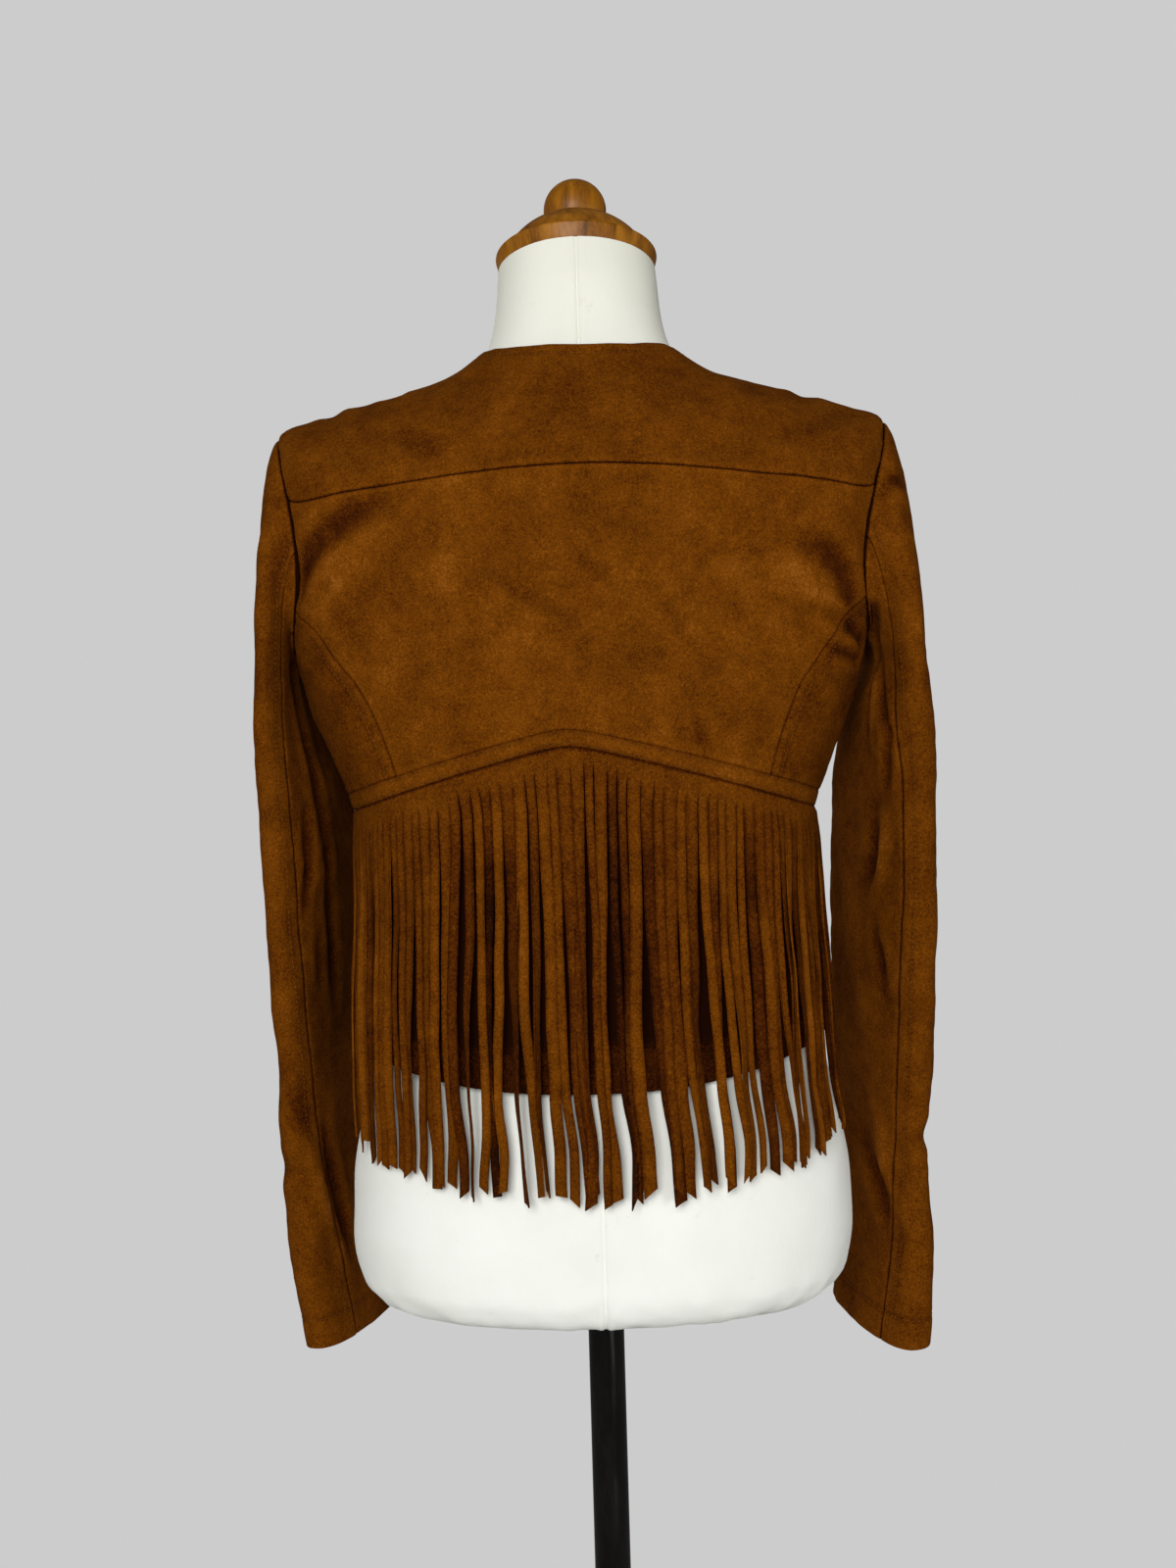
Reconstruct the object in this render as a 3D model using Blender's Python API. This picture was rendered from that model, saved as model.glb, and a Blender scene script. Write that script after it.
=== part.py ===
"""Cropped suede jacket with a fringed back, on a limbless dress form.

Frame: metres, +Z up, origin on the floor under the pole. The wearer's back
faces +Y and the wearer's left is +X. The jacket's body is one surface,
worked out from a short table of rings, and its panels are cut from that
surface along the seams. Each sleeve is a flattened tube from a table of rings.
"""

import math

import bpy
import numpy as np

# ---- Cloth -----------------------------------------------------------------
WALL = 0.0015            # thickness of the suede
GAP = 0.0003             # clear distance between pieces at a seam
SLEEVE_GAP = 0.0005      # the same on the sleeves, whose seams run round a tight bend
FRINGE_WALL = 0.0025     # thickness of the space that the strips fill

# ---- Jacket body: one row for each ring, hem to neckline ---------------------
# level: place of the ring on the way up. back_z, side_z, front_z: its heights.
# half: half width. back, front: its depths. shift: sideways offset to the left.
# boxy: power of the superellipse (2 is an ellipse).
BODY_COLUMNS = ("level", "back_z", "side_z", "front_z", "half", "back", "front", "shift", "boxy")
BODY_ROWS = (
    (0.930, 0.928, 0.957, 0.940, 0.1580, 0.1120, 0.1120, 0.004, 2.3),   # hem
    (0.990, 0.990, 0.998, 0.994, 0.1555, 0.1075, 0.1080, 0.004, 2.3),
    (1.050, 1.050, 1.050, 1.050, 0.1525, 0.0990, 0.1040, 0.004, 2.3),
    (1.100, 1.100, 1.100, 1.100, 0.1538, 0.0930, 0.1030, 0.004, 2.3),   # waist
    (1.120, 1.120, 1.120, 1.120, 0.1595, 0.0925, 0.1040, 0.004, 2.35),
    (1.145, 1.145, 1.145, 1.145, 0.1690, 0.0920, 0.1060, 0.004, 2.4),
    (1.175, 1.175, 1.175, 1.175, 0.1810, 0.0925, 0.1100, 0.004, 2.5),
    (1.215, 1.215, 1.212, 1.212, 0.1900, 0.0940, 0.1140, 0.004, 2.7),   # armpit
    (1.300, 1.285, 1.357, 1.270, 0.2005, 0.0935, 0.1100, 0.000, 3.0),   # shoulder tip
    (1.330, 1.315, 1.371, 1.292, 0.1670, 0.0890, 0.1040, 0.000, 2.8),
    (1.360, 1.347, 1.382, 1.315, 0.1250, 0.0810, 0.0940, 0.000, 2.5),
    (1.385, 1.378, 1.393, 1.338, 0.0900, 0.0680, 0.0820, 0.000, 2.2),
    (1.410, 1.404, 1.409, 1.360, 0.0660, 0.0560, 0.0705, 0.000, 2.0),   # neckline
)
HEM, ARMPIT, SHOULDER_TIP, NECKLINE = 0.930, 1.215, 1.300, 1.410

# ---- Seams on the body --------------------------------------------------------
YOKE_SEAM_Z = 1.3227     # height of the yoke seam at the centre back
YOKE_SEAM_DROP = 0.0200  # how far it falls to the armhole
YOKE_HALF = 0.187        # half width of the yoke seam
BAND_PEAK_X = 0.0145     # the chevron's point lies left of the centre back
BAND_PEAK_Z = 1.1545     # top edge of the waist band at its point
BAND_SLOPE = 0.262       # fall of the chevron for each metre sideways
BAND_ROUND = 0.010       # rounding of its point
BAND_WIDTH = 0.0105
ARMHOLE_BACK = 30.0      # half widths of the armhole, degrees round the body
ARMHOLE_FRONT = 34.0
OPENING_NECK = 4.0       # the open front edge, degrees from the centre front
OPENING_HEM = 7.0

# Armhole points, degrees round the loop: 0 at the shoulder tip, 180 at the armpit.
YOKE_ANGLE, HINDARM_ANGLE, PRINCESS_ANGLE, FOREARM_ANGLE = 65, 92, 125, 250
ARMHOLE_BACK_POINTS = (180, 162, 144, PRINCESS_ANGLE, 108, HINDARM_ANGLE, 78, YOKE_ANGLE, 44, 22, 0)
ARMHOLE_FRONT_POINTS = (180, 203, 227, FOREARM_ANGLE, 275, 297, 318, 340, 360)

# Princess seam from the armhole down: part of the way, level, degrees from centre back.
PRINCESS_COLUMNS = ("part", "level", "turn")
PRINCESS_ROWS = (
    (0.00, 1.2331, 65.4),
    (0.15, 1.2240, 55.5),
    (0.35, 1.2030, 49.5),
    (0.55, 1.1830, 45.8),
    (0.75, 1.1600, 44.4),
    (1.00, 1.1250, 44.6),
)

# ---- Fringe: the surface in which the strips hang ------------------------------
FRINGE_COLUMNS = ("z", "half", "back", "shift")
FRINGE_ROWS = (
    (0.850, 0.1670, 0.1240, 0.000),
    (0.890, 0.1652, 0.1215, 0.000),
    (0.930, 0.1622, 0.1175, 0.003),
    (0.990, 0.1590, 0.1125, 0.004),
    (1.050, 0.1556, 0.1035, 0.004),
    (1.100, 0.1566, 0.0970, 0.004),
    (1.120, 0.1625, 0.0965, 0.004),
    (1.145, 0.1720, 0.0960, 0.004),
)
FRINGE_BOXY = 2.3
FRINGE_TURN = 84.0       # the fringe's top ends just behind the side seams, degrees
FRINGE_TIP_TURN = 74.0   # its outer strips hang straight, so its tips end further back
FRINGE_TIP_Z = 0.861     # lowest tips, at the centre back
FRINGE_TIP_RISE = 0.028  # how much higher the tips are at the sides

# ---- Sleeves: one row for each ring, below the armpit ---------------------------
# outer, inner: reach sideways. middle_y: centre fore and aft. long: half length of
# the flattened section. turn: degrees that its front end swings in. seam: place of the
# hindarm seam, degrees round the section.
SLEEVE_BOXY = 2.5        # power of the section's superellipse
SLEEVE_COLUMNS = ("z", "outer", "inner", "middle_y", "long", "turn", "seam")
LEFT_SLEEVE_ROWS = (
    (1.196, 0.2170, 0.1948, -0.0040, 0.0640, 4.0, 140.0),
    (1.165, 0.2175, 0.1855, -0.0050, 0.0690, 8.0, 136.0),
    (1.120, 0.2163, 0.1700, -0.0070, 0.0700, 14.0, 132.0),
    (1.060, 0.2148, 0.1655, -0.0120, 0.0690, 15.0, 132.0),
    (1.000, 0.2145, 0.1655, -0.0220, 0.0670, 15.5, 134.0),
    (0.930, 0.2125, 0.1650, -0.0360, 0.0640, 16.0, 136.0),
    (0.877, 0.2155, 0.1650, -0.0480, 0.0620, 16.0, 140.0),
    (0.810, 0.2135, 0.1620, -0.0600, 0.0600, 17.0, 150.0),
    (0.742, 0.2045, 0.1560, -0.0670, 0.0600, 17.0, 158.0),
)
RIGHT_SLEEVE_ROWS = (
    (1.196, 0.2215, 0.1905, -0.0040, 0.0640, 5.0, 135.0),
    (1.152, 0.2245, 0.1750, -0.0050, 0.0690, 12.0, 130.0),
    (1.110, 0.2240, 0.1700, -0.0080, 0.0700, 15.0, 126.0),
    (1.060, 0.2236, 0.1685, -0.0120, 0.0690, 16.0, 126.0),
    (1.000, 0.2235, 0.1670, -0.0200, 0.0670, 16.5, 128.0),
    (0.930, 0.2222, 0.1670, -0.0330, 0.0640, 17.0, 130.0),
    (0.874, 0.2175, 0.1710, -0.0440, 0.0620, 16.0, 134.0),
    (0.805, 0.2230, 0.1710, -0.0530, 0.0600, 17.0, 140.0),
    (0.733, 0.2195, 0.1650, -0.0570, 0.0600, 17.0, 146.0),
)
LEFT_CUFF_TILT = 0.04    # rise of the cuff's edge for each metre forward
RIGHT_CUFF_TILT = 0.15
CAP_CLEAR = 0.0012       # the cap starts this far outside the armhole's edge
CAP_OUT = 0.22           # how far the sleeve cap stands out, as a part of its length
CAP_DOWN = 1.15          # how straight it comes down
CAP_STEPS = 6
SLEEVE_STEPS = 13

# ---- Dress form ------------------------------------------------------------------
# The rings of the covered torso, with the power by which each ring rises to its back.
FORM_COLUMNS = ("level", "back_z", "side_z", "front_z", "half", "back", "front", "boxy", "saddle")
FORM_ROWS = (
    (0.7800, 0.7800, 0.7800, 0.7800, 0.1400, 0.1000, 0.0880, 2.3, 2.0),
    (0.7860, 0.7860, 0.7860, 0.7860, 0.1515, 0.1080, 0.0960, 2.3, 2.0),
    (0.8000, 0.8000, 0.8000, 0.8000, 0.1620, 0.1145, 0.1025, 2.3, 2.0),
    (0.8300, 0.8300, 0.8300, 0.8300, 0.1667, 0.1172, 0.1060, 2.3, 2.0),   # hips
    (0.8650, 0.8650, 0.8650, 0.8650, 0.1652, 0.1155, 0.1055, 2.3, 2.0),
    (0.8950, 0.8950, 0.8950, 0.8950, 0.1605, 0.1110, 0.1035, 2.3, 2.0),
    (0.9300, 0.9300, 0.9300, 0.9300, 0.1530, 0.1055, 0.1000, 2.3, 2.0),
    (1.0000, 1.0000, 1.0000, 1.0000, 0.1370, 0.0910, 0.0930, 2.2, 2.0),
    (1.0700, 1.0700, 1.0700, 1.0700, 0.1260, 0.0800, 0.0870, 2.2, 2.0),   # waist
    (1.1400, 1.1400, 1.1400, 1.1400, 0.1420, 0.0820, 0.0930, 2.3, 2.0),
    (1.2150, 1.2150, 1.2120, 1.2120, 0.1720, 0.0870, 0.1040, 2.6, 2.0),   # chest
    (1.3000, 1.2800, 1.3430, 1.2640, 0.1850, 0.0860, 0.1010, 2.8, 2.0),   # shoulder tip
    (1.3300, 1.3100, 1.3610, 1.2870, 0.1560, 0.0820, 0.0950, 2.6, 2.0),
    (1.3600, 1.3420, 1.3755, 1.3110, 0.1170, 0.0735, 0.0850, 2.4, 2.0),
    (1.3850, 1.3730, 1.3905, 1.3340, 0.0830, 0.0610, 0.0730, 2.2, 2.0),
    (1.4100, 1.4020, 1.4090, 1.3620, 0.0625, 0.0515, 0.0620, 2.0, 1.8),   # foot of the neck
    (1.4350, 1.4380, 1.4330, 1.4050, 0.0560, 0.0505, 0.0545, 2.0, 1.4),
    (1.4640, 1.4752, 1.4640, 1.4528, 0.0527, 0.0515, 0.0515, 2.0, 1.0),   # top of the neck
)
FORM_RING_LEVELS = (0.780, 0.786, 0.800, 0.830, 0.865, 0.895, 0.930, 0.965, 1.000, 1.035, 1.070, 1.105,
                    1.140, 1.178, 1.215, 1.245, 1.272, 1.300, 1.315, 1.330, 1.345, 1.360, 1.372, 1.385,
                    1.397, 1.410, 1.422, 1.435, 1.450, 1.464)
FORM_SIDES = 32
NECK_TOP_Z = 1.464
NECK_TILT = 12.3         # the neck's top plane falls forward, degrees
# Turned wood on the neck, radius and height along the tilted axis.
CAP_BAND = ((0.0522, 0.0000), (0.0534, 0.0008), (0.0542, 0.0095), (0.0528, 0.0106))
CAP_DOME_RADIUS = 0.0535
CAP_DOME_HEIGHT = 0.0490
CAP_DOME_FOOT = -0.0084  # the dome's own centre lies below the band
CAP_DOME_RADII = (0.0490, 0.0465, 0.0430, 0.0385, 0.0330, 0.0270, 0.0215)
FINIAL_RADIUS = 0.0212
FINIAL_CENTRE = 0.0455   # height of the ball's centre over the neck, along the axis
TURNED_SIDES = 32
FINIAL_SIDES = 24
POLE_RADIUS = 0.0120
POLE_SIDES = 16
BASE_RADIUS = 0.160
BASE_EDGE = 0.006        # height of the base's straight edge
BASE_HEIGHT = 0.016
BASE_COLLAR = 0.022      # radius of the raised middle that takes the pole
BASE_COLLAR_Z = 0.045
BASE_SIDES = 40

# ---- Colours, linear red, green, blue, then roughness and metallic --------------------
SUEDE = ((0.140, 0.042, 0.004), 0.95, 0.0)
COVER_CLOTH = ((0.83, 0.82, 0.76), 0.85, 0.0)
TURNED_WOOD = ((0.250, 0.110, 0.018), 0.35, 0.0)
BLACK_ENAMEL = ((0.010, 0.009, 0.008), 0.28, 0.0)


# ---- Tables and curves ------------------------------------------------------------------
def table(columns, rows):
    """Named columns of a table, as arrays."""
    data = np.array(rows)
    return {name: data[:, i] for i, name in enumerate(columns)}


def knot_slopes(knots, values):
    """Slope at each knot: the harmonic mean of its two sides, and level where they turn."""
    rise = np.diff(values) / np.diff(knots)
    before, after = rise[:-1], rise[1:]
    same = before * after > 0
    total = np.where(same, before + after, 1.0)
    middle = np.where(same, 2 * before * after / total, 0.0)
    return np.concatenate([rise[:1], middle, rise[-1:]])


def smooth(knots, values, at):
    """Cubic curve through the values, which never swings past a knot."""
    at = np.asarray(at, dtype=float)
    slopes = knot_slopes(knots, values)
    i = np.clip(np.searchsorted(knots, at, side="right") - 1, 0, len(knots) - 2)
    span = knots[i + 1] - knots[i]
    f = (at - knots[i]) / span
    start = (2 * f ** 3 - 3 * f ** 2 + 1) * values[i] + (f ** 3 - 2 * f ** 2 + f) * span * slopes[i]
    end = (3 * f ** 2 - 2 * f ** 3) * values[i + 1] + (f ** 3 - f ** 2) * span * slopes[i + 1]
    return start + end


BODY = table(BODY_COLUMNS, BODY_ROWS)
FORM = table(FORM_COLUMNS, FORM_ROWS)
FRINGE = table(FRINGE_COLUMNS, FRINGE_ROWS)
PRINCESS = table(PRINCESS_COLUMNS, PRINCESS_ROWS)


def ring_point(rows, turn, level, saddle):
    """Superellipse ring whose height changes from its side to its back and front.

    turn is in degrees from the centre back, positive towards the wearer's left.
    """
    angle = np.radians(turn)
    row = {name: smooth(rows["level"], rows[name], level) for name in rows}
    across, along = np.sin(angle), np.cos(angle)
    size = (np.abs(across) ** row["boxy"] + np.abs(along) ** row["boxy"]) ** (-1 / row["boxy"])
    behind = along > 0
    depth = np.where(behind, row["back"], row["front"])
    centre_z = np.where(behind, row["back_z"], row["front_z"])
    shift = row["shift"] if "shift" in row else 0.0
    x = shift + row["half"] * size * across
    y = depth * size * along
    z = row["side_z"] + (centre_z - row["side_z"]) * np.abs(size * along) ** saddle(row)
    return np.stack(np.broadcast_arrays(x, y, z), axis=-1)


def body_point(turn, level):
    """Middle of the jacket's wall."""
    return ring_point(BODY, turn, level, lambda row: 2.0)


def form_point(turn, level):
    """Surface of the covered torso."""
    return ring_point(FORM, turn, level, lambda row: row["saddle"])


def fringe_point(turn, z):
    """Middle of the fringe: a plain ring at each height."""
    angle = np.radians(turn)
    across, along = np.sin(angle), np.cos(angle)
    size = (np.abs(across) ** FRINGE_BOXY + np.abs(along) ** FRINGE_BOXY) ** (-1 / FRINGE_BOXY)
    half, back, shift = (smooth(FRINGE["z"], FRINGE[name], z) for name in ("half", "back", "shift"))
    x = shift + half * size * across
    return np.stack(np.broadcast_arrays(x, back * size * along, z), axis=-1)


def normals(surface, first, second):
    """Unit normals of a surface of two parameters, from small steps along each."""
    step = 1e-3
    along_first = surface(first + step, second) - surface(first - step, second)
    small = 1e-5
    along_second = surface(first, second + small) - surface(first, second - small)
    cross = np.cross(along_first, along_second)
    return cross / np.linalg.norm(cross, axis=-1, keepdims=True)


def level_at_height(turn, z):
    """Level at which the body's ring passes a height, for each turn."""
    steps = np.linspace(HEM, NECKLINE, 400)
    heights = [body_point(np.full_like(steps, angle), steps)[:, 2] for angle in np.atleast_1d(turn)]
    return np.array([np.interp(height, line, steps) for height, line in zip(np.atleast_1d(z), heights)])


# ---- Seam lines, as turns and levels ----------------------------------------------------
def armhole(angles, side):
    """Armhole loop: an oval round the side, wider towards the front."""
    angle = np.radians(np.asarray(angles, dtype=float))
    reach = np.where(np.sin(angle) > 0, ARMHOLE_BACK, ARMHOLE_FRONT)
    turn = 90.0 - reach * np.sin(angle)
    middle, half = (SHOULDER_TIP + ARMPIT) / 2, (SHOULDER_TIP - ARMPIT) / 2
    return np.stack([side * turn, middle + half * np.cos(angle)], axis=-1)


def band_edge(turn, below):
    """Chevron edge of the waist band: straight falls from a rounded point."""
    x = body_point(turn, np.full_like(turn, 1.13))[:, 0]
    fall = BAND_SLOPE * (np.sqrt((x - BAND_PEAK_X) ** 2 + BAND_ROUND ** 2) - BAND_ROUND)
    return np.stack([turn, BAND_PEAK_Z - fall - below], axis=-1)


def princess_seam(side, count):
    """Princess seam from the waist band up to the armhole."""
    part = np.linspace(1.0, 0.0, count)
    turn = side * smooth(PRINCESS["part"], PRINCESS["turn"], part)
    level = smooth(PRINCESS["part"], PRINCESS["level"], part)
    start = band_edge(turn[:1], 0.0)[0, 1]
    level = level + (start - level[0]) * part ** 3
    corner = armhole([PRINCESS_ANGLE], side)[0]
    return np.concatenate([np.stack([turn, level], axis=-1)[:-1], corner[None]])


def yoke_seam(count):
    """Arched seam from armhole to armhole, over the right to the left."""
    right, left = armhole([YOKE_ANGLE], -1)[0], armhole([YOKE_ANGLE], 1)[0]
    turn = np.linspace(right[0], left[0], count)
    x = body_point(turn, np.full(count, 1.29))[:, 0]
    level = level_at_height(turn, YOKE_SEAM_Z - YOKE_SEAM_DROP * (x / YOKE_HALF) ** 2)
    mend = np.linspace(right[1] - level[0], left[1] - level[-1], count) * np.abs(turn / left[0]) ** 6
    return np.stack([turn, level + mend], axis=-1)


def run(start, end, count):
    """Straight run of turns and levels."""
    return np.linspace(np.array(start, dtype=float), np.array(end, dtype=float), count)


def join(*runs):
    """Runs one after another, each starting where the last one ends."""
    return np.concatenate([runs[0]] + [item[1:] for item in runs[1:]])


def patch(bottom, top, left, right):
    """Coons patch: the grid between four edges, blended from all of them.

    Its rows are spaced as the levels of its two side edges are, so that no row
    passes another.
    """
    across = np.linspace(0, 1, len(bottom))[None, :, None]
    height = left[:, 1] + right[:, 1]
    up = ((height - height[0]) / (height[-1] - height[0]))[:, None, None]
    ruled_up = (1 - up) * bottom[None] + up * top[None]
    ruled_across = (1 - across) * left[:, None] + across * right[:, None]
    corners = ((1 - up) * ((1 - across) * bottom[0] + across * bottom[-1])
               + up * ((1 - across) * top[0] + across * top[-1]))
    return ruled_up + ruled_across - corners


# ---- Solids --------------------------------------------------------------------------------
def material(name, finish):
    """Principled material from a colour, a roughness and a metallic value."""
    colour, roughness, metallic = finish
    item = bpy.data.materials.new(name)
    item.use_nodes = True
    shader = item.node_tree.nodes["Principled BSDF"]
    shader.inputs["Base Color"].default_value = (*colour, 1.0)
    shader.inputs["Roughness"].default_value = roughness
    shader.inputs["Metallic"].default_value = metallic
    return item


def solid(name, points, faces, finish):
    """Closed mesh object, turned so that its faces point outwards."""
    points = np.asarray(points, dtype=float)
    volume = 0.0
    for face in faces:
        first = points[face[0]]
        for second, third in zip(face[1:-1], face[2:]):
            volume += np.dot(first, np.cross(points[second], points[third]))
    if volume < 0:
        faces = [tuple(reversed(face)) for face in faces]
    mesh = bpy.data.meshes.new(name)
    mesh.from_pydata(points.tolist(), [], faces)
    mesh.shade_smooth()
    mesh.set_sharp_from_angle(angle=math.radians(40))
    mesh.materials.append(material(name, finish))
    item = bpy.data.objects.new(name, mesh)
    bpy.context.collection.objects.link(item)
    return item


def drawn_in(points, edges, gap=GAP):
    """Edges of a grid moved in by half a gap, along the surface."""
    points = points.copy()
    moved = {"bottom": (0, 1), "top": (-1, -2)}
    for name in edges:
        if name in moved:
            edge, inner = moved[name]
            way = points[inner] - points[edge]
            points[edge] += way / np.linalg.norm(way, axis=-1, keepdims=True) * gap / 2
        else:
            edge, inner = (0, 1) if name == "left" else (-1, -2)
            way = points[:, inner] - points[:, edge]
            points[:, edge] += way / np.linalg.norm(way, axis=-1, keepdims=True) * gap / 2
    return points


def sheet(name, points, outward, wall, finish=SUEDE):
    """Wall of cloth: the grid moved half a wall to each side and closed round its edge."""
    rows, columns = points.shape[:2]
    count = rows * columns
    outer = (points + outward * wall / 2).reshape(-1, 3)
    inner = (points - outward * wall / 2).reshape(-1, 3)
    index = np.arange(count).reshape(rows, columns)
    faces = []
    for i in range(rows - 1):
        for j in range(columns - 1):
            quad = (index[i, j], index[i, j + 1], index[i + 1, j + 1], index[i + 1, j])
            faces.append(tuple(int(k) for k in quad))
            faces.append(tuple(int(k) + count for k in reversed(quad)))
    rim = np.concatenate([index[0, :-1], index[:-1, -1], index[-1, :0:-1], index[:0:-1, 0]])
    for a, b in zip(rim, np.roll(rim, -1)):
        faces.append((int(b), int(a), int(a) + count, int(b) + count))
    return solid(name, np.concatenate([outer, inner]), faces, finish)


def body_panel(name, grid, edges):
    """Panel cut from the jacket's body, with its seam edges drawn in."""
    turn, level = grid[..., 0], grid[..., 1]
    points = drawn_in(body_point(turn, level), edges)
    outward = normals(body_point, turn, level)
    outward *= np.sign(np.sum(outward[..., :2] * points[..., :2], axis=-1).mean())
    return sheet(name, points, outward, WALL)


def turned(name, profile, sides, finish, tilt=0.0, foot=(0.0, 0.0, 0.0)):
    """Profile of radii and heights turned round its own axis, closed by flat ends."""
    angle = np.linspace(0, 2 * math.pi, sides, endpoint=False)
    rings = [np.stack([r * np.cos(angle), r * np.sin(angle), np.full(sides, h)], axis=-1)
             for r, h in profile]
    points = np.concatenate(rings)
    lean = math.radians(tilt)
    y = points[:, 1] * math.cos(lean) - points[:, 2] * math.sin(lean)
    z = points[:, 1] * math.sin(lean) + points[:, 2] * math.cos(lean)
    points = np.stack([points[:, 0], y, z], axis=-1) + np.array(foot)
    return solid(name, points, tube_faces(len(profile), sides), finish)


def tube_faces(rings, sides):
    """Faces of stacked rings with a flat face at each end."""
    faces = [tuple(range(sides)), tuple((rings - 1) * sides + k for k in reversed(range(sides)))]
    for i in range(rings - 1):
        for k in range(sides):
            after = (k + 1) % sides
            faces.append((i * sides + k, (i + 1) * sides + k, (i + 1) * sides + after, i * sides + after))
    return faces


# ---- Jacket -------------------------------------------------------------------------------------
PRINCESS_COUNT = 7
CENTRE_COUNT = 15
SIDE_COUNT = 4
LOWER_COUNT = 7
SHOULDER_COUNT = 5
FRONT_COUNT = 10


def side_turns(side):
    """Turns of the waist seam's points between a princess seam and its side seam."""
    start = princess_seam(side, PRINCESS_COUNT)[0, 0]
    return np.linspace(start, side * 90.0, SIDE_COUNT)


def waist_turns():
    """Turns of all the points of the waist seam, right to left."""
    right, left = side_turns(-1), side_turns(1)
    centre = np.linspace(right[0], left[0], CENTRE_COUNT)
    return np.concatenate([right[::-1], centre[1:-1], left])


def side_seam(side):
    """Side seam from the hem to the armpit, with the points that its panels share."""
    band = [band_edge(np.array([side * 90.0]), below)[0, 1] for below in (BAND_WIDTH, 0.0)]
    lower = run((side * 90.0, HEM), (side * 90.0, band[0]), LOWER_COUNT)
    middle = run((side * 90.0, band[0]), (side * 90.0, band[1]), 2)
    upper = run((side * 90.0, band[1]), (side * 90.0, ARMPIT), PRINCESS_COUNT)
    return lower, middle, upper


def between_angles(points, low, high):
    """Armhole points from one angle to another."""
    return [angle for angle in points if low <= angle <= high]


def make_yoke():
    """Yoke: yoke seam to neckline, closed at the sides by the armhole and the shoulder seam."""
    bottom = yoke_seam(CENTRE_COUNT)
    edges = {}
    for side in (-1, 1):
        arm = armhole(between_angles(ARMHOLE_BACK_POINTS, 0, YOKE_ANGLE), side)
        shoulder = run((side * 90.0, SHOULDER_TIP), (side * 90.0, NECKLINE), SHOULDER_COUNT)
        edges[side] = join(arm, shoulder)
    top = run((-90.0, NECKLINE), (90.0, NECKLINE), CENTRE_COUNT)
    body_panel("back_yoke", patch(bottom, top, edges[-1], edges[1]), ("bottom", "left", "right"))


def make_back_centre():
    """Centre back: chevron to yoke seam, closed at the sides by princess seams and armholes."""
    turns = np.linspace(side_turns(-1)[0], side_turns(1)[0], CENTRE_COUNT)
    edges = {}
    for side in (-1, 1):
        arm = armhole(between_angles(ARMHOLE_BACK_POINTS, YOKE_ANGLE, PRINCESS_ANGLE), side)
        edges[side] = join(princess_seam(side, PRINCESS_COUNT), arm)
    grid = patch(band_edge(turns, 0.0), yoke_seam(CENTRE_COUNT), edges[-1], edges[1])
    body_panel("back_centre", grid, ("bottom", "top", "left", "right"))


def make_back_side(side, name):
    """Side back: chevron to armhole, between the princess seam and the side seam."""
    bottom = band_edge(side_turns(side), 0.0)
    top = armhole(between_angles(ARMHOLE_BACK_POINTS, PRINCESS_ANGLE, 180), side)[::-1]
    upper = side_seam(side)[2]
    grid = patch(bottom, top, princess_seam(side, PRINCESS_COUNT), upper)
    body_panel(name, grid, ("bottom", "left", "right"))


def make_band():
    """Waist band: a strip of even width along the chevron."""
    turns = waist_turns()
    low, high = band_edge(turns, BAND_WIDTH), band_edge(turns, 0.0)
    grid = patch(low, high, np.stack([low[0], high[0]]), np.stack([low[-1], high[-1]]))
    body_panel("waist_band", grid, ("bottom", "top", "left", "right"))


def make_back_lower():
    """Lower back: chevron to hem, side seam to side seam."""
    turns = waist_turns()
    hem = np.stack([turns, np.full_like(turns, HEM)], axis=-1)
    grid = patch(hem, band_edge(turns, BAND_WIDTH), side_seam(-1)[0], side_seam(1)[0])
    body_panel("back_lower", grid, ("top", "left", "right"))


def make_front(side, name):
    """Front: hem to neckline, from the side seam, armhole and shoulder to the open edge."""
    arm = armhole(ARMHOLE_FRONT_POINTS, side)
    shoulder = run((side * 90.0, SHOULDER_TIP), (side * 90.0, NECKLINE), SHOULDER_COUNT)
    outer = join(*side_seam(side), arm, shoulder)
    edge_hem, edge_neck = side * (180.0 - OPENING_HEM), side * (180.0 - OPENING_NECK)
    opening = run((edge_hem, HEM), (edge_neck, NECKLINE), len(outer))
    bottom = run((side * 90.0, HEM), (edge_hem, HEM), FRONT_COUNT)
    top = run((side * 90.0, NECKLINE), (edge_neck, NECKLINE), FRONT_COUNT)
    body_panel(name, patch(bottom, top, outer, opening), ("left",))


def make_fringe():
    """Fringe: a plain solid of the strips' reach, chevron seam to tips."""
    turn = np.linspace(-FRINGE_TURN, FRINGE_TURN, 25)
    top = band_edge(turn, BAND_WIDTH)[:, 1]
    tip = FRINGE_TIP_Z + FRINGE_TIP_RISE * (1 - np.cos(np.radians(turn)) ** 2)
    part = np.linspace(0, 1, 9)[:, None]
    z = tip[None] + (top - tip)[None] * part
    turns = turn[None] * (FRINGE_TIP_TURN + (FRINGE_TURN - FRINGE_TIP_TURN) * part) / FRINGE_TURN
    points = fringe_point(turns, z)
    outward = normals(fringe_point, turns, z)
    outward *= np.sign(outward[..., 1].mean())
    sheet("fringe", points, outward, FRINGE_WALL)


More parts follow.
